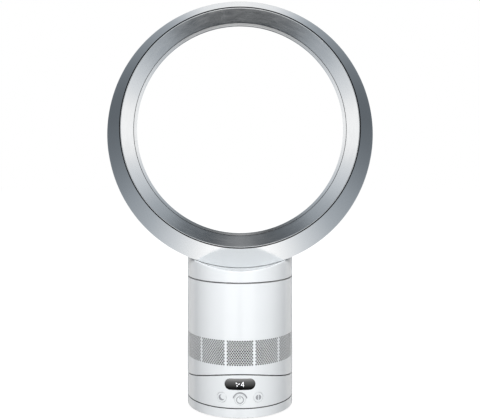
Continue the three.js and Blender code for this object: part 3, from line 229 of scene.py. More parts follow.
FLAKE_SCALE, FLAKE_DARK, FLAKE_LIGHT = 2600.0, (0.82, 0.83, 0.835, 1), (0.915, 0.92, 0.925, 1)
TRACK_SCALE, TRACK_GAP, TRACK_COLOUR = 220.0, 0.03, (0.10, 0.30, 0.17, 1)
# Painted highlight on the smoked lens: its colour lightens towards its upper edge.
HIGHLIGHT_START, HIGHLIGHT_TOP = 0.040, 0.052  # heights in metres between which the lens lightens
HIGHLIGHT_LEVELS = ((0.0, 0.001), (0.12, 0.006), (0.25, 0.03), (0.66, 0.095), (0.78, 0.13), (0.88, 0.18),
               (1.0, 0.26))


def silver_flakes(graph, shader, shade):
    """Fine metal flakes under the lacquer."""
    cells = graph.node("ShaderNodeTexVoronoi", {"Vector": graph.place(), "Scale": FLAKE_SCALE})
    spark = graph.node("ShaderNodeSeparateColor", {0: cells.outputs["Color"]}).outputs[0]
    flake = graph.blend(graph.spread(spark, 0.0, 1.0, 0.0, 1.0), FLAKE_DARK, FLAKE_LIGHT)
    graph.put(graph.blend(0.5, shade, flake), shader.inputs["Base Color"])


def board_tracks(graph, shader, shade):
    """Copper tracks under a solder mask."""
    inputs = {"Vector": graph.place(), "Scale": TRACK_SCALE, "Mortar Size": TRACK_GAP}
    tracks = graph.node("ShaderNodeTexBrick", inputs).outputs["Fac"]
    graph.put(graph.blend(tracks, shade, TRACK_COLOUR), shader.inputs["Base Color"])


def lens_highlight(graph, shader, shade):
    """A smoked window, with a painted highlight: lighter along its upper edge."""
    height = graph.node("ShaderNodeSeparateXYZ", {0: graph.place()}).outputs[2]
    lift = graph.ramp(graph.spread(height, HIGHLIGHT_START, HIGHLIGHT_TOP, 0.0, 1.0), HIGHLIGHT_LEVELS, 0.0)
    graph.put(lift, shader.inputs["Base Color"])


white = surface("white_plastic", (0.845, 0.872, 0.892), (0.832, 0.860, 0.880), (0.13, 0.19),
                (1100.0, 0.04, 0.00002), coat=0.35)
silver = surface("silver_paint", (0.872, 0.88, 0.884), (0.845, 0.855, 0.86), (0.14, 0.18),
                 (1500.0, 0.02, 0.00002), metal=1.0, extra=silver_flakes)
rubber = surface("soft_rubber", (0.035, 0.035, 0.037), (0.024, 0.024, 0.026), (0.72, 0.9),
                 (900.0, 0.35, 0.0001))
steel = surface("turned_steel", (0.56, 0.57, 0.58), (0.48, 0.49, 0.50), (0.28, 0.42),
                (1400.0, 0.12, 0.00003), metal=1.0)
grey = surface("grey_plastic", (0.27, 0.28, 0.30), (0.24, 0.25, 0.26), (0.42, 0.56),
               (800.0, 0.2, 0.00005))
dark = surface("dark_plastic", (0.020, 0.020, 0.022), (0.014, 0.014, 0.016), (0.30, 0.42),
               (800.0, 0.16, 0.00004))
board = surface("solder_mask", (0.020, 0.115, 0.055), (0.014, 0.090, 0.044), (0.40, 0.55),
                (500.0, 0.1, 0.00003), extra=board_tracks)
copper = surface("copper_wire", (0.60, 0.27, 0.13), (0.52, 0.21, 0.10), (0.30, 0.45),
                 (700.0, 0.2, 0.00005), metal=1.0)
foam = surface("open_foam", (0.060, 0.062, 0.068), (0.034, 0.035, 0.038), (0.92, 1.0),
               (700.0, 0.9, 0.0006))
# Painted shade: a grey that stands in for the shade inside the casings, in their holes and along their
# seams.
shade_grey = surface("painted_casing_shade", (0.34, 0.345, 0.35), (0.31, 0.315, 0.32), (0.5, 0.6),
              (900.0, 0.1, 0.00003))
icon = surface("printed_grey", (0.36, 0.37, 0.39), (0.33, 0.34, 0.36), (0.35, 0.45),
               (900.0, 0.05, 0.00001))
pale_icon = surface("light_guide", (0.40, 0.41, 0.43), (0.37, 0.38, 0.40), (0.22, 0.30),
                    (900.0, 0.04, 0.00001))
glass = surface("smoked_lens_highlight", (0.05, 0.05, 0.05), (0.04, 0.04, 0.04), (0.07, 0.10),
                (900.0, 0.01, 0.00001), extra=lens_highlight, Specular_IOR_Level=0.12)
digits = surface("display_light", (0.85, 0.86, 0.88), (0.82, 0.83, 0.86), (0.4, 0.5),
                 (900.0, 0.01, 0.00001), Emission_Strength=0.55,
                 Emission_Color=(0.95, 0.97, 1.0, 1.0))

SLOT_MATERIALS = {
    "white_shell": white, "silver_ring": silver, "rubber": rubber, "steel": steel,
    "grey_plastic": grey, "dark_plastic": dark, "circuit_board": board, "copper": copper,
    "foam": foam,
}

# ---- mesh tools


CREASE = math.radians(32.0)  # edges sharper than this aren't smoothed
UPRIGHT = 0.995  # how squarely a face of the round wall looks along its radius
SAME_POINT = 1e-5
HOLE_REACH = 45  # no hole is wider than this


def make(name, points, faces, material, body, replaces=(), slot=None, round_wall=False, painted_shade=None):
    """A mesh piece that rides on a body. Points are in millimetres.

    The last argument holds a second material, for faces painted dark as shade, and a test of a face's
    number and middle, in millimetres.
    """
    mesh = bpy.data.meshes.new(name)
    mesh.from_pydata([[c * MM for c in p] for p in points], [], faces)
    mesh.materials.append(material)
    if painted_shade:
        mesh.materials.append(painted_shade[0])
        for face in mesh.polygons:
            if painted_shade[1](face.index, face.center / MM):
                face.material_index = 1
    mesh.validate()
    mesh.shade_smooth()
    mesh.set_sharp_from_angle(angle=CREASE)
    if round_wall:
        wall_normals(mesh)
    piece = bpy.data.objects.new(name, mesh)
    scene.collection.objects.link(piece)
    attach(piece, body)
    if replaces:
        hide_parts(*replaces)


def wall_normals(mesh):
    """Shades the upright round wall as a true cylinder, whatever its triangles."""
    normals = [(0.0, 0.0, 0.0)] * len(mesh.loops)
    for face in mesh.polygons:
        share = face.normal.dot(Vector((face.center.x, face.center.y, 0.0)).normalized())
        if abs(share) < UPRIGHT:
            continue
        side = 1.0 if share > 0 else -1.0
        for i in face.loop_indices:
            corner = mesh.vertices[mesh.loops[i].vertex_index].co
            normals[i] = tuple(Vector((corner.x, corner.y, 0.0)).normalized() * side)
    mesh.normals_split_custom_set(normals)


def grid_faces(rows, columns, close_rows=False, close_columns=True):
    """Quads over rows of points, which may close up into rings."""
    faces = []
    for i in range(rows if close_rows else rows - 1):
        for j in range(columns if close_columns else columns - 1):
            a, b = i * columns, ((i + 1) % rows) * columns
            k = (j + 1) % columns
            faces.append((a + j, a + k, b + k, b + j))
    return faces


def turned(profile, sides, x=0.0, y=0.0):
    """A closed outline of (radius, height) turned about an upright axis."""
    points = []
    for j in range(sides):
        turn = 2 * math.pi * j / sides
        points += [(x + r * math.sin(turn), y - r * math.cos(turn), z) for r, z in profile]
    count = len(profile)
    faces = []
    for j in range(sides):
        a, b = j * count, ((j + 1) % sides) * count
        for i in range(count):
            k = (i + 1) % count
            corner = [a + i, b + i, b + k, a + k]
            on_axis = [profile[i][0] == 0, profile[k][0] == 0]
            if all(on_axis):
                continue
            if on_axis[0]:
                corner = [a + i, b + k, a + k]
            elif on_axis[1]:
                corner = [a + i, b + i, a + k]
            faces.append(corner)
    return weld(points, faces)


def weld(points, faces, grid=1e-4):
    """Joins points that share a place and drops faces that this leaves with no area."""
    index, kept, moved = {}, [], []
    for p in points:
        key = tuple(round(c / grid) for c in p)
        if key not in index:
            index[key] = len(kept)
            kept.append(p)
        moved.append(index[key])
    clean = []
    for face in faces:
        corners = []
        for i in face:
            if moved[i] not in corners:
                corners.append(moved[i])
        if len(corners) > 2:
            clean.append(tuple(corners))
    return kept, clean


def inside(loop, s, z):
    """Whether a flat point lies inside a closed loop."""
    hit = False
    for (s0, z0), (s1, z1) in zip(loop, loop[1:] + loop[:1]):
        if (z0 > z) != (z1 > z) and s < (s1 - s0) * (z - z0) / (z1 - z0) + s0:
            hit = not hit
    return hit


def grown(loop, amount):
    """A counter-clockwise loop moved outwards along its own normals."""
    moved = []
    count = len(loop)
    for i, (s, z) in enumerate(loop):
        s0, z0 = loop[i - 1]
        s1, z1 = loop[(i + 1) % count]
        along = Vector((s1 - s0, z1 - z0)).normalized()
        moved.append((s + along.y * amount, z - along.x * amount))
    return moved


def delaunay(outer, holes, inner_points):
    """Triangles over flat points, with every loop kept as a chain of edges.

    Returns the points, the triangles, and each loop as a list of point numbers.
    """
    flat, edges, loops = [], [], []
    for loop in [outer, *holes]:
        start, count = len(flat), len(loop)
        flat += loop
        edges += [(start + i, start + (i + 1) % count) for i in range(count)]
        loops.append(range(start, start + count))
    made = delaunay_2d_cdt([Vector(p) for p in flat + inner_points], edges, [], 0, SAME_POINT)
    number = {old: new for new, olds in enumerate(made[3]) for old in olds}
    triangles = [tuple(corners) for corners in made[2]]
    return [tuple(p) for p in made[0]], triangles, [[number[i] for i in loop] for loop in loops]


def near(loop, s, z):
    """A quick test before the exact one."""
    return abs(loop[0][0] - s) < HOLE_REACH and abs(loop[0][1] - z) < HOLE_REACH


def triangulate(outer, holes, inner_points):
    """The triangles that lie inside the outer loop and outside its holes."""
    points, sheet, loops = delaunay(outer, holes, inner_points)
    triangles = []
    for corners in sheet:
        s, z = (sum(points[i][k] for i in corners) / 3 for k in (0, 1))
        if inside(outer, s, z) and not any(near(hole, s, z) and inside(hole, s, z) for hole in holes):
            triangles.append(corners)
    return points, triangles, loops


def triangulate_panel(outer, holes, inner_points):
    """As triangulate, for a square sheet with many small holes.

    A triangle with all its corners on one hole's loop lies in that hole.
    """
    points, sheet, loops = delaunay(outer, holes, inner_points)
    owner = {i: number for number, loop in enumerate(loops[1:]) for i in loop}
    triangles = []
    for corners in sheet:
        owners = {owner.get(i) for i in corners}
        if len(owners) > 1 or None in owners:
            triangles.append(corners)
    return points, triangles, loops


def circle(radius, s, z, count=48):
    turns = [2 * math.pi * i / count for i in range(count)]
    return [(s + radius * math.cos(t), z + radius * math.sin(t)) for t in turns]


def pill(width, height, s, z, steps=20, straight_steps=6):
    """An outline with two round ends."""
    radius, reach = height / 2, width / 2 - height / 2
    loop = []
    for side, start in ((1, -90), (-1, 90)):
        for i in range(steps + 1):
            turn = math.radians(start + 180 * i / steps)
            loop.append((s + side * reach + radius * math.cos(turn), z + radius * math.sin(turn)))
    along = [2 * reach * i / straight_steps - reach for i in range(1, straight_steps)]
    lower = [(s + a, z - radius) for a in along]
    upper = [(s - a, z + radius) for a in along]
    return loop[:steps + 1] + upper + loop[steps + 1:] + lower


def band(inner, outer, start, end, s, z, steps=40):
    """An arc of some width, from one angle to another, in degrees."""
    turns = [math.radians(start + (end - start) * i / steps) for i in range(steps + 1)]
    far = [(s + outer * math.cos(t), z + outer * math.sin(t)) for t in turns]
    close = [(s + inner * math.cos(t), z + inner * math.sin(t)) for t in reversed(turns)]
    return far + close


def rounded_box(width, height, radius, s, z, steps=6):
    loop = []
    for right, up, start in ((1, -1, -90), (1, 1, 0), (-1, 1, 90), (-1, -1, 180)):
        for i in range(steps + 1):
            turn = math.radians(start + 90 * i / steps)
            loop.append((s + right * (width / 2 - radius) + radius * math.cos(turn),
                         z + up * (height / 2 - radius) + radius * math.sin(turn)))
    return loop


def on_body(s, z, radius, turn=0.0):
    """The place on an upright cylinder of an arc length and a height measured on the body."""
    angle = s / BODY + math.radians(turn)
    return radius * math.sin(angle), -radius * math.cos(angle), z


def steps_between(low, high, pitch):
    count = max(1, round((high - low) / pitch))
    return [low + (high - low) * i / count for i in range(count + 1)]


def shell(bottom, top, holes, columns, pitch):
    """An upright round wall with windows, and a small chamfer round every edge outside.

    bottom is the height of its lower end and top gives that of its upper end at an arc
    length. Holes are loops of (arc, height), columns the arc lengths that carry its points.
    """
    def column(s):
        low, high = bottom + SHELL_EDGE, top(s) - SHELL_EDGE
        count = max(2, round((high - low) / pitch))
        return [(s, low + (high - low) * i / count) for i in range(count + 1)]

    lines = [column(s) for s in columns]
    lower = [line[0] for line in lines]
    upper = [line[-1] for line in reversed(lines)]
    right = lines[-1][1:-1]
    left = [(columns[0], z) for _, z in reversed(right)]
    outer = lower + right + upper + left
    open_holes = [grown(hole, SHELL_EDGE) for hole in holes]
    keep_off = [grown(hole, SHELL_EDGE + pitch * 0.5) for hole in holes]
    inner_points = [
        p for line in lines[1:-1] for p in line[1:-1]
        if not any(near(hole, *p) and inside(hole, *p) for hole in keep_off)
    ]
    flat, triangles, loops = triangulate(outer, open_holes, inner_points)

    # The face stops short of each edge by the chamfer; full is the outline without that.
    full = list(flat)
    for number, (s, z) in zip(loops[0], outer):
        if (s, z) in lower:
            full[number] = (s, z - SHELL_EDGE)
        elif (s, z) in upper:
            full[number] = (s, z + SHELL_EDGE)
    for loop, hole in zip(loops[1:], holes):
        for number, place in zip(loop, hole):
            full[number] = place

    count = len(flat)
    points = [on_body(s, z, BODY) for s, z in flat]
    points += [on_body(s, z, radius) for radius in (BODY - SHELL_EDGE, INNER) for s, z in full]
    faces = triangles + [(a + 2 * count, c + 2 * count, b + 2 * count) for a, b, c in triangles]
    rims = []
    upper_start = len(lower) + len(right)
    for line in (loops[0][:len(lower)], loops[0][upper_start:upper_start + len(upper)]):
        rims += list(zip(line, line[1:]))
    for loop in loops[1:]:
        rims += list(zip(loop[1:] + loop[:1], loop))
    for a, b in rims:
        faces.append((b, a, a + count, b + count))
        faces.append((b + count, a + count, a + 2 * count, b + 2 * count))
    return weld(points, faces)


PATCH_PITCH, PATCH_STEPS, PATCH_MARGIN = 0.6, 24, 0.4


def patch(loops, thickness, place):
    """A thin piece over a flat outline, with holes, laid on a curved face.

    place(s, z, depth) gives the point at some depth below the face.
    """
    outer, holes = loops[0], loops[1:]
    ss, zs = [p[0] for p in outer], [p[1] for p in outer]
    pitch = max(PATCH_PITCH, (max(ss) - min(ss)) / PATCH_STEPS)
    keep_in = grown(outer, -pitch * PATCH_MARGIN)
    keep_off = [grown(hole, pitch * PATCH_MARGIN) for hole in holes]
    grid = [
        (s, z)
        for s in steps_between(min(ss), max(ss), pitch)
        for z in steps_between(min(zs), max(zs), pitch)
        if inside(keep_in, s, z) and not any(inside(hole, s, z) for hole in keep_off)
    ]
    flat, triangles, rings = triangulate(outer, holes, grid)
    count = len(flat)
    points = [place(s, z, depth) for depth in (0.0, thickness) for s, z in flat]
    faces = triangles + [(a + count, c + count, b + count) for a, b, c in triangles]
    rims = list(zip(rings[0], rings[0][1:] + rings[0][:1]))
    for ring in rings[1:]:
        rims += list(zip(ring[1:] + ring[:1], ring))
    faces += [(b, a, a + count, b + count) for a, b in rims]
    return points, faces


def joined(*parts):
    points, faces = [], []
    for part_points, part_faces in parts:
        start = len(points)
        points += part_points
        faces += [tuple(i + start for i in face) for face in part_faces]
    return points, faces


# ---- ring


def curve(controls, steps):
    """Points after the start of a line or curve between the outer control points."""
    degree = len(controls) - 1
    points = []
    for i in range(1, steps + 1):
        t = i / steps
        weights = [math.comb(degree, k) * (1 - t) ** (degree - k) * t ** k for k in range(degree + 1)]
        points.append(tuple(sum(w * p[k] for w, p in zip(weights, controls)) for k in (0, 1)))
    return points


def swept_ring(section, sides=320):
    """A closed section of (radius, depth, share of the drop) swept round the bore.

    The ring's outside is centred lower than its bore, by the drop.
    """
    drop = BORE_HEIGHT - OUTSIDE_HEIGHT
    points = []
    for j in range(sides):
        turn = 2 * math.pi * j / sides
        points += [(r * math.sin(turn), depth, BORE_HEIGHT - share * drop + r * math.cos(turn))
                   for r, depth, share in section]
    return points, grid_faces(sides, len(section), close_rows=True)


STRAIGHT_STEPS, ROUND_STEPS, REAR_STEPS, THROAT_STEPS, RAMP_STEPS = 6, 10, 14, 4, 12


def outer_section():
    """Lip, bevel, side, rear and throat, and back along the inside."""
    corner = RING - LIP + RING_FRONT
    reach = BEVEL_ROUND * math.sqrt(0.5)
    bevel_start, bevel_end = (LIP + LIP_BREAK, RING_FRONT + LIP_BREAK), (RING - reach, corner - reach)
    side_start, side_end = (RING, corner + BEVEL_ROUND), (RING, BACK_START)
    rear_end, throat_end = (BACK, RING_BACK), (THROAT + THROAT_LINE, THROAT_END)
    front = [(LIP + 0.1, RING_FRONT + 0.08), bevel_start]
    front += curve((bevel_start, bevel_end), STRAIGHT_STEPS)
    front += curve((bevel_end, (RING, corner), side_start), ROUND_STEPS)
    front += curve((side_start, side_end), STRAIGHT_STEPS)
    rear = curve((side_end, (RING, (BACK_START + 2 * RING_BACK) / 3),
                  ((RING + BACK) / 2, RING_BACK), rear_end), REAR_STEPS)
    rear += curve((rear_end, ((BACK + THROAT) / 2, RING_BACK),
                   (throat_end[0], (RING_BACK + THROAT_END) / 2), throat_end), REAR_STEPS)
    skin = [(r, d, (r - LIP) / (RING - LIP)) for r, d in front]
    skin += [(r, d, (r - THROAT) / (RING - THROAT)) for r, d in rear]
    line = skin[1:]
    skin += [(r, d, 0.0) for r, d in curve((throat_end, (THROAT + LIP_EDGE, LIP_END)), THROAT_STEPS)]
    back = []
    for before, (r, d, share), after in zip(line, line[1:], line[2:]):
        along = Vector((after[0] - before[0], after[1] - before[1])).normalized()
        back.append((r - along.y * RING_WALL, d + along.x * RING_WALL, share))
    back = [p for p in back if p[1] < THROAT_DEPTH or p[0] > THROAT + THROAT_LINE + RING_WALL]
    return skin + [(THROAT + RING_WALL, THROAT_DEPTH, 0.0)] + back[::-1] + [
        (LIP, RING_FRONT + RING_WALL * math.sqrt(2), 0.0), (LIP, RING_FRONT + 0.35, 0.0),
    ]


def inner_section():
    """The straight ramp, its round nose, and back along the inside to the seat in the lip."""
    ramp = [(RAMP_FRONT + 0.3, RING_FRONT + 0.05), (RAMP_FRONT, RING_FRONT + 0.35)]
    ramp += curve(((RAMP_FRONT, RING_FRONT), (NOSE, LIP_END)), RAMP_STEPS)
    middle = (NOSE + RAMP_WALL, LIP_END + NOSE_LENGTH - RAMP_WALL)
    nose = [(middle[0] - RAMP_WALL * math.cos(t), middle[1] + RAMP_WALL * math.sin(t))
            for t in (math.radians(a) for a in range(0, 181, 15))]
    back = [(r + RAMP_WALL, d) for r, d in ramp[3:]][::-1]
    seat_end = RING_FRONT + (RAMP_WALL - (RAMP_OUTER - RAMP_FRONT)) / RAMP_SLOPE
    edge = [(RAMP_OUTER, seat_end), (RAMP_OUTER, RING_FRONT + 0.6),
            (RAMP_OUTER - 0.14, RING_FRONT + 0.18), (RAMP_OUTER - 0.4, RING_FRONT)]
    return [(r, d, 0.0) for r, d in ramp + nose + back[1:] + edge]


def seal_section():
    inner = RAMP_OUTER + FIT
    outer = inner + SEAL_WIDTH
    front = RING_FRONT + RING_WALL * math.sqrt(2) + outer - LIP + SEAL_GAP + 3 * FIT
    back = front + SEAL_LENGTH
    return [(inner, front, 0.0), (outer, front, 0.0), (outer, back, 0.0), (inner, back, 0.0)]


def groove_shade(section, strips):
    """Strips of a section, counted from its end, painted dark as shade in the groove round the front lip.
    """
    count = len(section)
    return lambda number, middle: (number - 1) % count - count + 1 in strips


# Each ring casing has its strips in the front groove painted dark: painted shade in the groove.
for name, section, strips in (("outer", outer_section(), (-2,)), ("inner", inner_section(), (-4, -3))):
    make("ring_%s_skin" % name, *swept_ring(section), silver, "fan_head", ["ring_%s_casing" % name],
         "silver_ring", painted_shade=(dark, groove_shade(section, strips)))
make("ring_lip_seal", *swept_ring(seal_section()), rubber, "fan_head", ["lip_seal"], "rubber")

# ---- neck


def neck_mesh():
    """The round neck, its saddle under the ring and the air's way through it."""
    turns = [2 * math.pi * j / NECK_SIDES for j in range(NECK_SIDES)]

    def saddle(x, drop=0.0):
        return OUTSIDE_HEIGHT - math.sqrt((SADDLE + drop) ** 2 - x ** 2)

    def rounds(radius, height):
        """A ring of points on an upright cylinder; height is a number or depends on x."""
        spots = [(radius * math.sin(t), -radius * math.cos(t)) for t in turns]
        return [(x, y, height(x) if callable(height) else height) for x, y in spots]

    def way(share, drop):
        """A ring of points part of the way from a circle to the air's oblong opening."""
        made = []
        for turn in turns:
            out, ahead = math.sin(turn), -math.cos(turn)
            reach = min(RISER_WIDTH / 2 / max(abs(out), 1e-6), RISER_DEPTH / 2 / max(abs(ahead), 1e-6))
            x = DECK_ROUND * out * (1 - share) + reach * out * share
            y = DECK_ROUND * ahead * (1 - share) + (RISER_MIDDLE + reach * ahead) * share
            made.append((x, y, saddle(x, drop)))
        return made

    def side(share):
        """A ring of points on the outside, part of the way up to the saddle."""
        low = NECK_BOTTOM + NECK_EDGE
        return rounds(BODY, lambda x: low * (1 - share) + (saddle(x) - NECK_EDGE) * share)

    rings = [rounds(INNER, NECK_BOTTOM), rounds(BODY - NECK_EDGE, NECK_BOTTOM),
             rounds(BODY, NECK_BOTTOM + NECK_EDGE)]
    rings += [side(share) for share in steps_between(0.0, 1.0, 0.1)[1:]]
    rings.append(rounds(BODY - NECK_EDGE * 0.3, lambda x: saddle(x) - NECK_EDGE * 0.3))
    rings += [rounds(radius, saddle) for radius in (BODY - NECK_EDGE, 70.0, 67.0, 64.0, 61.0, 58.0)]
    rings += [way(share, 0.0) for share in (0.0, 0.2, 0.4, 0.6, 0.8, 1.0)]
    rings += [way(share, WALL) for share in (1.0, 0.5, 0.0)]
    rings += [rounds(radius, lambda x: saddle(x, WALL)) for radius in (60.0, 65.0, INNER)]
    return [p for ring in rings for p in ring], grid_faces(len(rings), NECK_SIDES, close_rows=True)


# Painted shade: the neck's underside, in the collar seam, takes the grey material.
make("neck_shell", *neck_mesh(), white, "fan_head", ["neck"], "white_shell",
     painted_shade=(grey, lambda number, middle: middle.z < NECK_BOTTOM + 0.1))

# ---- motor casing


def tilt_edge(seam):
    """The height of the tilt seam's arc at an arc length round the body."""
    return lambda s: TILT_AXIS - math.sqrt(seam ** 2 - (BODY * math.cos(s / BODY)) ** 2)


def perforated_panel():
    """One panel of the air intake, flat, with its loops of holes."""
    turn = math.radians(COLUMN_TURN) * BODY
    half = math.radians(180 / PANELS) * BODY
    columns = [-half, *[turn * i for i in range(-FULL_COLUMNS, FULL_COLUMNS + 1)], half]
    row = (ROW_HIGH - ROW_LOW) / (2 * FULL_ROWS - 2)
    low, high = ROW_LOW - 2 * row, ROW_HIGH + 2 * row
    heights = steps_between(low, high, row)
    holes = []
    for i in range(2 * FULL_ROWS - 1):
        reach = FULL_COLUMNS - 1 - i % 2
        for k in range(-reach, reach + 1, 2):
            holes.append(circle(HOLE, turn * k, ROW_LOW + row * i, HOLE_SIDES))
    outer = [(s, low) for s in columns] + [(half, z) for z in heights[1:-1]]
    outer += [(s, high) for s in reversed(columns)]
    outer += [(-half, z) for z in reversed(heights[1:-1])]
    edge_points = [(side * turn * FULL_COLUMNS, z) for side in (-1, 1) for z in heights[1:-1]]
    flat, triangles, loops = triangulate_panel(outer, holes, edge_points)
    return columns, low, high, flat, triangles, loops[1:]


def main_casing_mesh():
    """Panels of holes with a smooth wall below and above them, outside and inside."""
    columns, low, high, flat, triangles, holes = perforated_panel()
    count = len(flat)
    sheet = triangles + [(a + count, c + count, b + count) for a, b, c in triangles]
    for hole in holes:
        sheet += [(a, b, b + count, a + count) for a, b in zip(hole, hole[1:] + hole[:1])]
    shares = steps_between(0.0, 1.0, 0.25)
    heights = steps_between(high, CASING_TOP - CASING_EDGE, 6.0)
    bottom = tilt_edge(MAIN_SEAM)
    parts = []

    def add_rows(rows):
        faces = grid_faces(len(rows), len(columns), close_columns=False)
        parts.append(([p for row in rows for p in row], faces))

    for panel in range(PANELS):
        turn = 360 * panel / PANELS
        parts.append(([on_body(s, z, radius, turn) for radius in (BODY, INNER) for s, z in flat], sheet))
        arcs = [s + math.radians(turn) * BODY for s in columns]
        ends = [(s, bottom(s)) for s in arcs]
        rows = [[on_body(s, e, INNER) for s, e in ends],
                [on_body(s, e, BODY - CASING_EDGE / 2) for s, e in ends]]
        rows += [[on_body(s, (e + CASING_EDGE / 2) * (1 - share) + low * share, BODY) for s, e in ends]
                 for share in shares]
        add_rows(rows)
        add_rows([[on_body(s, e * (1 - share) + low * share, INNER) for s, e in ends]
                  for share in reversed(shares)])
        rows = [[on_body(s, z, BODY) for s in arcs] for z in heights]
        rows.append([on_body(s, CASING_TOP, BODY - CASING_EDGE) for s in arcs])
        rows.append([on_body(s, CASING_TOP, INNER) for s in arcs])
        rows += [[on_body(s, z, INNER) for s in arcs] for z in reversed(heights)]
        add_rows(rows)
    return weld(*joined(*parts))


def off_face(middle, depth, top):
    """Whether a face lies deeper in the body's wall than depth, or above top."""
    return math.hypot(middle.x, middle.y) < BODY - depth or middle.z > top


def casing_shade(depth):
    """Painted shade: grey on a casing's inside, hole and window walls and upper edge, for the shade there.
    """
    return shade_grey, lambda number, middle: off_face(middle, depth, CASING_TOP - 0.4)


make("main_casing_shell", *main_casing_mesh(), white, "fan_head", ["main_casing"], "white_shell",
     round_wall=True, painted_shade=casing_shade(0.8))

# ---- control casing


def arc_of(degrees):
    return math.radians(degrees) * BODY


def wall_columns(seam_turn, fine_from, fine_to, fine, coarse):
    """Arc lengths for a whole turn that starts at seam_turn, closer together over one stretch."""
    turns = steps_between(seam_turn - 360, fine_from, coarse)
    turns += steps_between(fine_from, fine_to, fine)[1:]
    turns += steps_between(fine_to, seam_turn, coarse)[1:]
    return [arc_of(t) for t in turns]


def flat_to_arc(loop):
    """Loops are drawn as seen from the front; on the round wall they take a little more arc."""
    return [(BODY * math.asin(s / BODY), z) for s, z in loop]


side_arc = arc_of(SIDE_ANGLE)
side_hole = flat_to_arc(circle(SIDE_RADIUS + FIT, 0.0, SIDE_HEIGHT))
windows = [
    flat_to_arc(pill(DISPLAY_WIDTH, DISPLAY_TALL, 0.0, DISPLAY_HEIGHT)),
    flat_to_arc(circle(POWER_RADIUS + 0.2, 0.0, POWER_HEIGHT)),
    [(s + side_arc, z) for s, z in side_hole],
    [(s - side_arc, z) for s, z in side_hole],
    flat_to_arc(band(ARC_INNER, ARC_INNER + ARC_WIDTH, ARC_START, 180 - ARC_START, 0.0, POWER_HEIGHT)),
]
control_wall = shell(CONTROL_BOTTOM, tilt_edge(CONTROL_SEAM), windows,
                     wall_columns(180, -42, 42, 1.4, 3.0), 2.2)
make("control_casing_shell", *control_wall, white, "control_body", ["control_casing"], "white_shell",
     round_wall=True, painted_shade=casing_shade(0.6))


def on_wall(proud):
    """Lays a flat drawing, as seen from the front, on the body's wall."""
    def place(s, z, depth):
        return on_body(BODY * math.asin(s / BODY), z, BODY + proud - depth)
    return place


def from_button(turn, s, ahead, z):
    """A place measured across and along a button's own axis."""
    angle = math.radians(turn)
    across, out = math.cos(angle), math.sin(angle)
    return s * across + ahead * out, s * out - ahead * across, z


def along_button(turn, proud):
    """Lays a drawing on a button's face; depth runs along the button's own axis."""
    def place(s, z, depth):
        return from_button(turn, s, math.sqrt(BODY ** 2 - s ** 2) + proud - depth, z)
    return place


def lens_outline(inset):
    """The smoked lens, smaller all round by an inset."""
    less = 2 * FIT + 2 * inset
    return pill(DISPLAY_WIDTH - less, DISPLAY_TALL - less, 0.0, DISPLAY_HEIGHT)


# Display: a glossy rim, a smoked window with a painted highlight along its top, and what it shows.
LENS_PIECES = (
    ("display_rim", [lens_outline(0.0), lens_outline(DISPLAY_RIM)], 2.0, -0.05),
    ("display_window", [lens_outline(DISPLAY_RIM)], 1.8, -0.2),
)
for name, loops, thickness, proud in LENS_PIECES:
    make(name, *patch(loops, thickness, on_wall(proud)), glass, "control_body", ["display_lens"],
         "dark_plastic", round_wall=True)


def blade_mark(x, z, size, turn):
    """One leaf of the fan sign."""
    across, up = math.cos(turn), math.sin(turn)
    loop = []
    for i in range(16):
        t = 2 * math.pi * i / 16
        u = size * (0.55 + 0.45 * math.cos(t))
        v = size * 0.30 * math.sin(t) * (0.6 + 0.4 * math.cos(t)) + size * 0.18 * math.cos(t)
        loop.append((x + u * across - v * up, z + u * up + v * across))
    return loop


def bar(x0, z0, x1, z1, width):
    """A straight stroke."""
    along = Vector((x1 - x0, z1 - z0)).normalized()
    side = Vector((-along.y, along.x)) * width / 2
    ends = ((x0, z0, -1), (x1, z1, -1), (x1, z1, 1), (x0, z0, 1))
    return [(x + way * side.x, z + way * side.y) for x, z, way in ends]


SIGN_THICK = 0.1
FAN_PLACE, BLADE, BLADE_TURN = (-3.2, DISPLAY_HEIGHT + 0.1), 3.1, 8
STROKE = 0.8
STROKES = ((4.4, -3.3, 4.4, 3.4), (1.2, -1.2, 5.5, -1.2), (4.2, 3.2, 1.5, -1.2))  # of the digit

outlines = [blade_mark(*FAN_PLACE, BLADE, math.radians(120 * k + BLADE_TURN)) for k in range(3)]
outlines += [bar(x0, DISPLAY_HEIGHT + z0, x1, DISPLAY_HEIGHT + z1, STROKE) for x0, z0, x1, z1 in STROKES]
marks = joined(*[patch([outline], SIGN_THICK, on_wall(-0.17)) for outline in outlines])
make("display_marks", *marks, digits, "control_body", ["display_lens"], "dark_plastic")


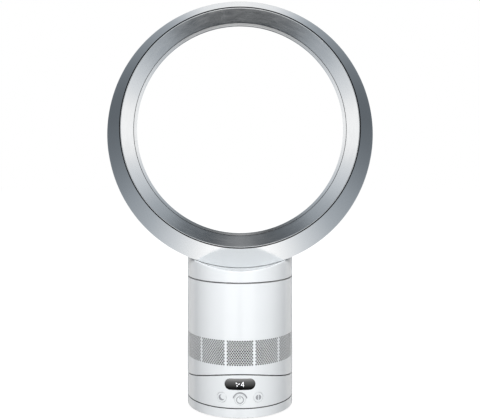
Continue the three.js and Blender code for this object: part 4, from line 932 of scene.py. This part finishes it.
def button_mesh(radius, height, turn, sides=72):
    """A cap whose face follows the round of the body, with its flange and stem."""
    inner_flat = INNER * math.cos(math.pi / CAD_SIDES)
    flange = math.sqrt(inner_flat ** 2 - (radius + FLANGE) ** 2) - FIT
    flange_back = flange - FLANGE_THICK
    stem_end = flange_back - SWITCH_REACH + FIT / 2
    # Each ring is a radius, how far ahead it lies or None on the face, and its drop below that.
    rings = [(radius * share, None, 0.0) for share in (0.2, 0.4, 0.6, 0.8, 0.93)]
    rings += [(radius - 0.25, None, 0.0), (radius - 0.07, None, 0.07), (radius, None, 0.25)]
    rings += [(radius, flange, 0.0), (radius + FLANGE, flange, 0.0), (radius + FLANGE, flange_back, 0.0)]
    rings += [(STEM, flange_back, 0.0), (STEM, stem_end, 0.0)]
    points = []
    for ring, level, drop in rings:
        for s, z in circle(ring, 0.0, height, sides):
            ahead = level if level is not None else math.sqrt(BODY ** 2 - s ** 2) - drop
            points.append(from_button(turn, s, ahead, z))
    faces = []
    for r in range(0, sides * (len(rings) - 1), sides):
        for i in range(sides):
            k = (i + 1) % sides
            faces.append((i + r, i + r + sides, k + r + sides, k + r))
    for ahead, r, front in ((BODY, 0, True), (stem_end, len(rings) - 1, False)):
        points.append(from_button(turn, 0.0, ahead, height))
        middle = len(points) - 1
        for i in range(sides):
            a, b = i + sides * r, (i + 1) % sides + sides * r
            faces.append((middle, a, b) if front else (middle, b, a))
    return points, faces


BUTTONS = (
    ("power", POWER_RADIUS, POWER_HEIGHT, 0.0),
    ("sleep", SIDE_RADIUS, SIDE_HEIGHT, -SIDE_ANGLE),
    ("swing", SIDE_RADIUS, SIDE_HEIGHT, SIDE_ANGLE),
)
for name, radius, height, turn in BUTTONS:
    make(name + "_button_cap", *button_mesh(radius, height, turn), white, name + "_button_body",
         [name + "_button"], "white_shell")

# Signs on the buttons, a little proud of their faces.
on_power, on_sleep, on_swing = (along_button(turn, 0.02) for turn in (0.0, -SIDE_ANGLE, SIDE_ANGLE))
power_sign = joined(
    patch([band(3.9, 5.2, 108, 432, 0.0, POWER_HEIGHT)], SIGN_THICK, on_power),
    patch([bar(0.0, POWER_HEIGHT + 1.4, 0.0, POWER_HEIGHT + 6.1, 1.2)], SIGN_THICK, on_power),
)
make("power_sign", *power_sign, pale_icon, "power_button_body")


def arc(radius, start, end, steps):
    """Places at even steps along a circle, from one angle to another."""
    turns = [start + (end - start) * i / steps for i in range(steps + 1)]
    return [(radius * math.cos(t), radius * math.sin(t)) for t in turns]


def crescent(s, z, outer, inner, shift, tilt=math.radians(35), steps=36):
    """A waning moon: an outer arc closed by a second, shifted one."""
    cut = math.acos((outer ** 2 + shift ** 2 - inner ** 2) / (2 * outer * shift))
    back = math.atan2(outer * math.sin(cut), outer * math.cos(cut) - shift)
    loop = arc(outer, cut, 2 * math.pi - cut, steps)
    loop += [(shift + a, b) for a, b in arc(inner, 2 * math.pi - back, back, steps)[1:-1]]
    return [(s + a * math.cos(tilt) - b * math.sin(tilt), z + a * math.sin(tilt) + b * math.cos(tilt))
            for a, b in loop]


moon = patch([crescent(0.0, SIDE_HEIGHT, 4.1, 3.3, 2.2)], SIGN_THICK, on_sleep)
make("sleep_sign", *moon, icon, "sleep_button_body")


def half_lens(side, gap=0.55, width=3.3, half_height=3.4):
    """One half of the swing sign: a lens cut by an upright gap."""
    loop = [(side * gap, SIDE_HEIGHT - half_height)]
    loop += [(side * (gap + width * math.cos(t)), SIDE_HEIGHT + half_height * math.sin(t))
             for t in [math.radians(-75 + 150 * i / 18) for i in range(19)]]
    loop.append((side * gap, SIDE_HEIGHT + half_height))
    return loop if side > 0 else loop[::-1]


swing_sign = joined(*[patch([half_lens(side)], SIGN_THICK, on_swing) for side in (-1, 1)])
make("swing_sign", *swing_sign, icon, "swing_button_body")
light = band(ARC_INNER + 0.15, ARC_INNER + ARC_WIDTH - 0.15, ARC_START + 1, 179 - ARC_START,
             0.0, POWER_HEIGHT)
make("status_arc", *patch([light], 2.2, on_wall(-0.08)), pale_icon, "control_body", ["status_light"],
     "grey_plastic")

# ---- foot

inlet_hole = rounded_box(INLET_WIDTH + 2 * FIT, INLET_TOP - INLET_BOTTOM + 2 * FIT, INLET_CORNER,
                         0.0, (INLET_BOTTOM + INLET_TOP) / 2)
foot_windows = [[(s - arc_of(180), z) for s, z in flat_to_arc(inlet_hole)]]
foot_wall = shell(FOOT_BOTTOM, lambda s: FOOT_TOP, foot_windows,
                  wall_columns(90, -192, -168, 1.2, 3.0), 1.6)
# Painted shade: the skirt's inside, its window walls and its top edge take the dark material, for the shade
# in the seam above it.
make("foot_skirt", *foot_wall, white, "foot", ["foot_shell"], "white_shell", round_wall=True,
     painted_shade=(dark, lambda number, middle: off_face(middle, 0.8, FOOT_TOP - 0.15)))

DECK_RIM, DECK_TOP = INNER + 0.5, FOOT_TOP - 0.3
deck = turned([(POST_OUTER, DECK_UNDER), (DECK_RIM, DECK_UNDER), (DECK_RIM, FOOT_TOP - 0.6),
               (GROOVE_OUTER, FOOT_TOP - 0.6), (GROOVE_OUTER, GROOVE_FLOOR), (GROOVE_INNER, GROOVE_FLOOR),
               (GROOVE_INNER, DECK_TOP), (POST_OUTER, DECK_TOP)], 120)
post = turned([(POST_INNER, DECK_UNDER), (POST_OUTER, DECK_UNDER), (POST_OUTER, POST_GROOVE_LOW),
               (POST_GROOVE, POST_GROOVE_LOW), (POST_GROOVE, POST_GROOVE_HIGH),
               (POST_OUTER, POST_GROOVE_HIGH), (POST_OUTER, POST_TOP), (POST_INNER, POST_TOP)], 72)
make("foot_deck", *joined(deck, post), dark, "foot", ["foot_shell"], "dark_plastic")

groove = BASE_BOTTOM + BASE_GROOVE
plate = turned([(0.0, groove), (18.0, groove), (18.4, BASE_BOTTOM), (63.5, BASE_BOTTOM), (64.0, groove),
                (66.0, groove), (66.5, BASE_BOTTOM), (PLATE - 0.4, BASE_BOTTOM),
                (PLATE, BASE_BOTTOM + 0.4), (PLATE, BASE_TOP), (0.0, BASE_TOP)], 160)
make("base_cover", *plate, grey, "foot", ["base_plate"], "grey_plastic")

pad_outline = [(0.0, PAD_DISH), (4.6, PAD_DISH), (4.9, 0.0), (PAD_RADIUS - 0.5, 0.0), (PAD_RADIUS, 0.35),
               (PAD_RADIUS, PAD_HEIGHT), (0.0, PAD_HEIGHT)]
for i in range(4):
    turn = math.radians(45 + 90 * i)
    pad = turned(pad_outline, 64, PAD_CIRCLE * math.cos(turn), PAD_CIRCLE * math.sin(turn))
    make("grip_pad_%d" % (i + 1), *pad, rubber, "foot", ["foot_pad_%d" % (i + 1)], "rubber")

# ---- finishes of the other CAD nodes, and painted shade for those seen through seams

# Nodes that are seen only through a seam are painted dark as shade, whatever their own finish, where a pale
# one would lighten the dark line.
SHADED_SEAM_NODES = ("tilt_plate", "tilt_cradle", "turntable", "body_top_ring", "nozzle_spigot",
                "nozzle_gasket", "glide_strip_left", "glide_strip_right")
for row in frame["record"]["subparts"]:
    node = frame["nodes"][row["node"]]
    material = dark if row["node"] in SHADED_SEAM_NODES else SLOT_MATERIALS[row["material_slot"]]
    for place in node.material_slots:
        place.material = material

# ---- floor, lamps and world

FLOOR, FLOOR_LEVEL = 6, -0.0002  # half its side and its height, in metres
GLOW_NEAR, GLOW_FAR, GLOW_LOW = 0.25, 0.9, 0.80

floor_mesh = bpy.data.meshes.new("floor")
corners = [(x * FLOOR, y * FLOOR, FLOOR_LEVEL) for x, y in ((-1, -1), (1, -1), (1, 1), (-1, 1))]
floor_mesh.from_pydata(corners, [], [(0, 1, 2, 3)])
floor = bpy.data.objects.new("floor", floor_mesh)
scene.collection.objects.link(floor)

# White paper: it takes shadows and glows to white for the camera, and mirrors don't see it.
paper = bpy.data.materials.new("white_paper")
graph = Graph(paper)
rays = graph.node("ShaderNodeLightPath").outputs
tone = graph.blend(graph.noise(40.0, 3.0), cool(0.21), cool(0.24))
matt = graph.node("ShaderNodeBsdfDiffuse", {"Color": tone})
middle = graph.node("ShaderNodeVectorMath", {0: graph.place()}, operation="LENGTH").outputs["Value"]
level = graph.times(graph.looked_through(rays), graph.spread(middle, GLOW_NEAR, GLOW_FAR, GLOW_LOW, 1.0))
glow = graph.node("ShaderNodeEmission", {"Color": cool(1.0), "Strength": level})
lit = graph.node("ShaderNodeAddShader", {0: matt.outputs[0], 1: glow.outputs[0]})
clear = graph.node("ShaderNodeBsdfTransparent")
ground = graph.node("ShaderNodeMixShader",
                    {0: rays["Is Glossy Ray"], 1: lit.outputs[0], 2: clear.outputs[0]})
graph.node("ShaderNodeOutputMaterial", {0: ground.outputs[0]})
floor_mesh.materials.append(paper)

# Soft boxes that no mirror shows: name, place, the point looked at, width and height, power.
LAMPS = (
    ("key", (0.0, -1.85, 1.45), (0.0, 0.0, 0.22), (0.9, 0.9), 63.0),
    ("back", (0.0, 1.7, 1.5), (0.0, 0.0, 0.25), (1.0, 1.0), 22.0),
    ("rim_left", (-0.9, 1.25, 0.55), (0.0, 0.0, 0.2), (0.5, 1.0), 11.0),
    ("rim_right", (0.9, 1.25, 0.55), (0.0, 0.0, 0.2), (0.5, 1.0), 11.0),
)
for name, place, target, size, power in LAMPS:
    box = bpy.data.lights.new(name, "AREA")
    box.shape = "RECTANGLE"
    box.size, box.size_y = size
    box.energy = power
    lamp = bpy.data.objects.new(name, box)
    lamp.location = place
    lamp.rotation_euler = (Vector(target) - Vector(place)).to_track_quat("-Z", "Y").to_euler()
    lamp.visible_glossy = False
    lamp.visible_camera = False
    scene.collection.objects.link(lamp)

# The studio that glossy surfaces mirror, as levels over how far a ray goes sideways. Overhead and
# below, it fades from white in the middle to dark flags at the sides. Behind stand two bright
# walls, dark between them, and low white strips outside these light the edges. Ahead are two
# white panels with a dark gap between them.
UPPER = ((0.0, 0.95), (0.2, 0.86), (0.32, 0.58), (0.42, 0.40), (0.606, 0.29), (0.79, 0.20), (0.93, 0.15),
         (1.0, 0.15))
LOWER = ((0.0, 1.3), (0.25, 1.12), (0.5, 0.72), (0.707, 0.46), (0.866, 0.34), (0.966, 0.22), (1.0, 0.17))
FAR = ((0.0, 0.03), (0.26, 0.035), (0.5, 0.11), (0.64, 0.31), (0.76, 0.40), (0.87, 0.62), (0.94, 0.76),
       (0.985, 1.0), (1.0, 1.05))
NEAR = ((0.0, 0.27), (0.26, 0.25), (0.5, 0.28), (0.7, 0.46), (0.87, 0.58), (1.0, 0.72))
AHEAD = ((0.0, 0.10), (0.06, 0.12), (0.14, 0.9), (0.50, 1.0), (0.56, 0.30), (1.0, 0.30))
STRIP_OUTER, STRIP_INNER = 1.0, 0.95
WALL_MIDDLE = 0.03  # how far up the dark between the walls has its middle
FILL = 0.03  # what matt surfaces get from it

world = bpy.data.worlds.new("studio")
scene.world = world
graph = Graph(world)
rays = graph.node("ShaderNodeLightPath").outputs
axes = graph.node("ShaderNodeSeparateXYZ", {0: graph.node("ShaderNodeTexCoord").outputs["Generated"]})
across = graph.math("ABSOLUTE", axes.outputs[0])
rearward, upward = axes.outputs[1], axes.outputs[2]

above = graph.spread(upward, -0.15, 0.1, 0.0, 1.0)
side_light = graph.blend(above, graph.ramp(across, LOWER), graph.ramp(across, UPPER))
off_axis = graph.reach(across, upward)
sideways = graph.math("DIVIDE", across, graph.reach(across, graph.math("SUBTRACT", upward, WALL_MIDDLE)))
walls = graph.blend(graph.spread(off_axis, 0.2, 0.34, 0.0, 1.0),
                    graph.ramp(sideways, NEAR), graph.ramp(sideways, FAR))
lift = graph.times(graph.spread(upward, 0.25, 0.36, 0.0, 0.28), graph.spread(sideways, 0.0, 0.26, 1.0, 0.0))
walls = graph.blend(lift, walls, cool(1.0))
mirrored = graph.blend(graph.spread(off_axis, 0.40, 0.5, 0.0, 1.0), walls, side_light)
strip = graph.times(
    graph.spread(upward, -0.55, -0.4, 0.0, 1.0), graph.spread(upward, -0.12, -0.06, 1.0, 0.0),
    graph.spread(across, 0.36, 0.46, 0.0, 1.0), graph.spread(rearward, 0.42, 0.50, 0.0, 1.0),
)
strip_light = graph.blend(graph.spread(rearward, 0.7, 0.92, 0.0, 1.0), cool(STRIP_OUTER), cool(STRIP_INNER))
mirrored = graph.blend(strip, mirrored, strip_light)
ahead = graph.spread(rearward, -0.3, -0.6, 0.0, 1.0, smooth=True)
mirrored = graph.blend(ahead, mirrored, graph.ramp(across, AHEAD))
plain = graph.blend(rays["Is Glossy Ray"], cool(FILL), mirrored)
final = graph.blend(graph.looked_through(rays), plain, cool(1.0))
background = graph.node("ShaderNodeBackground", {"Color": final, "Strength": 1.0})
graph.node("ShaderNodeOutputWorld", {0: background.outputs[0]})

scene.view_settings.view_transform = "Standard"
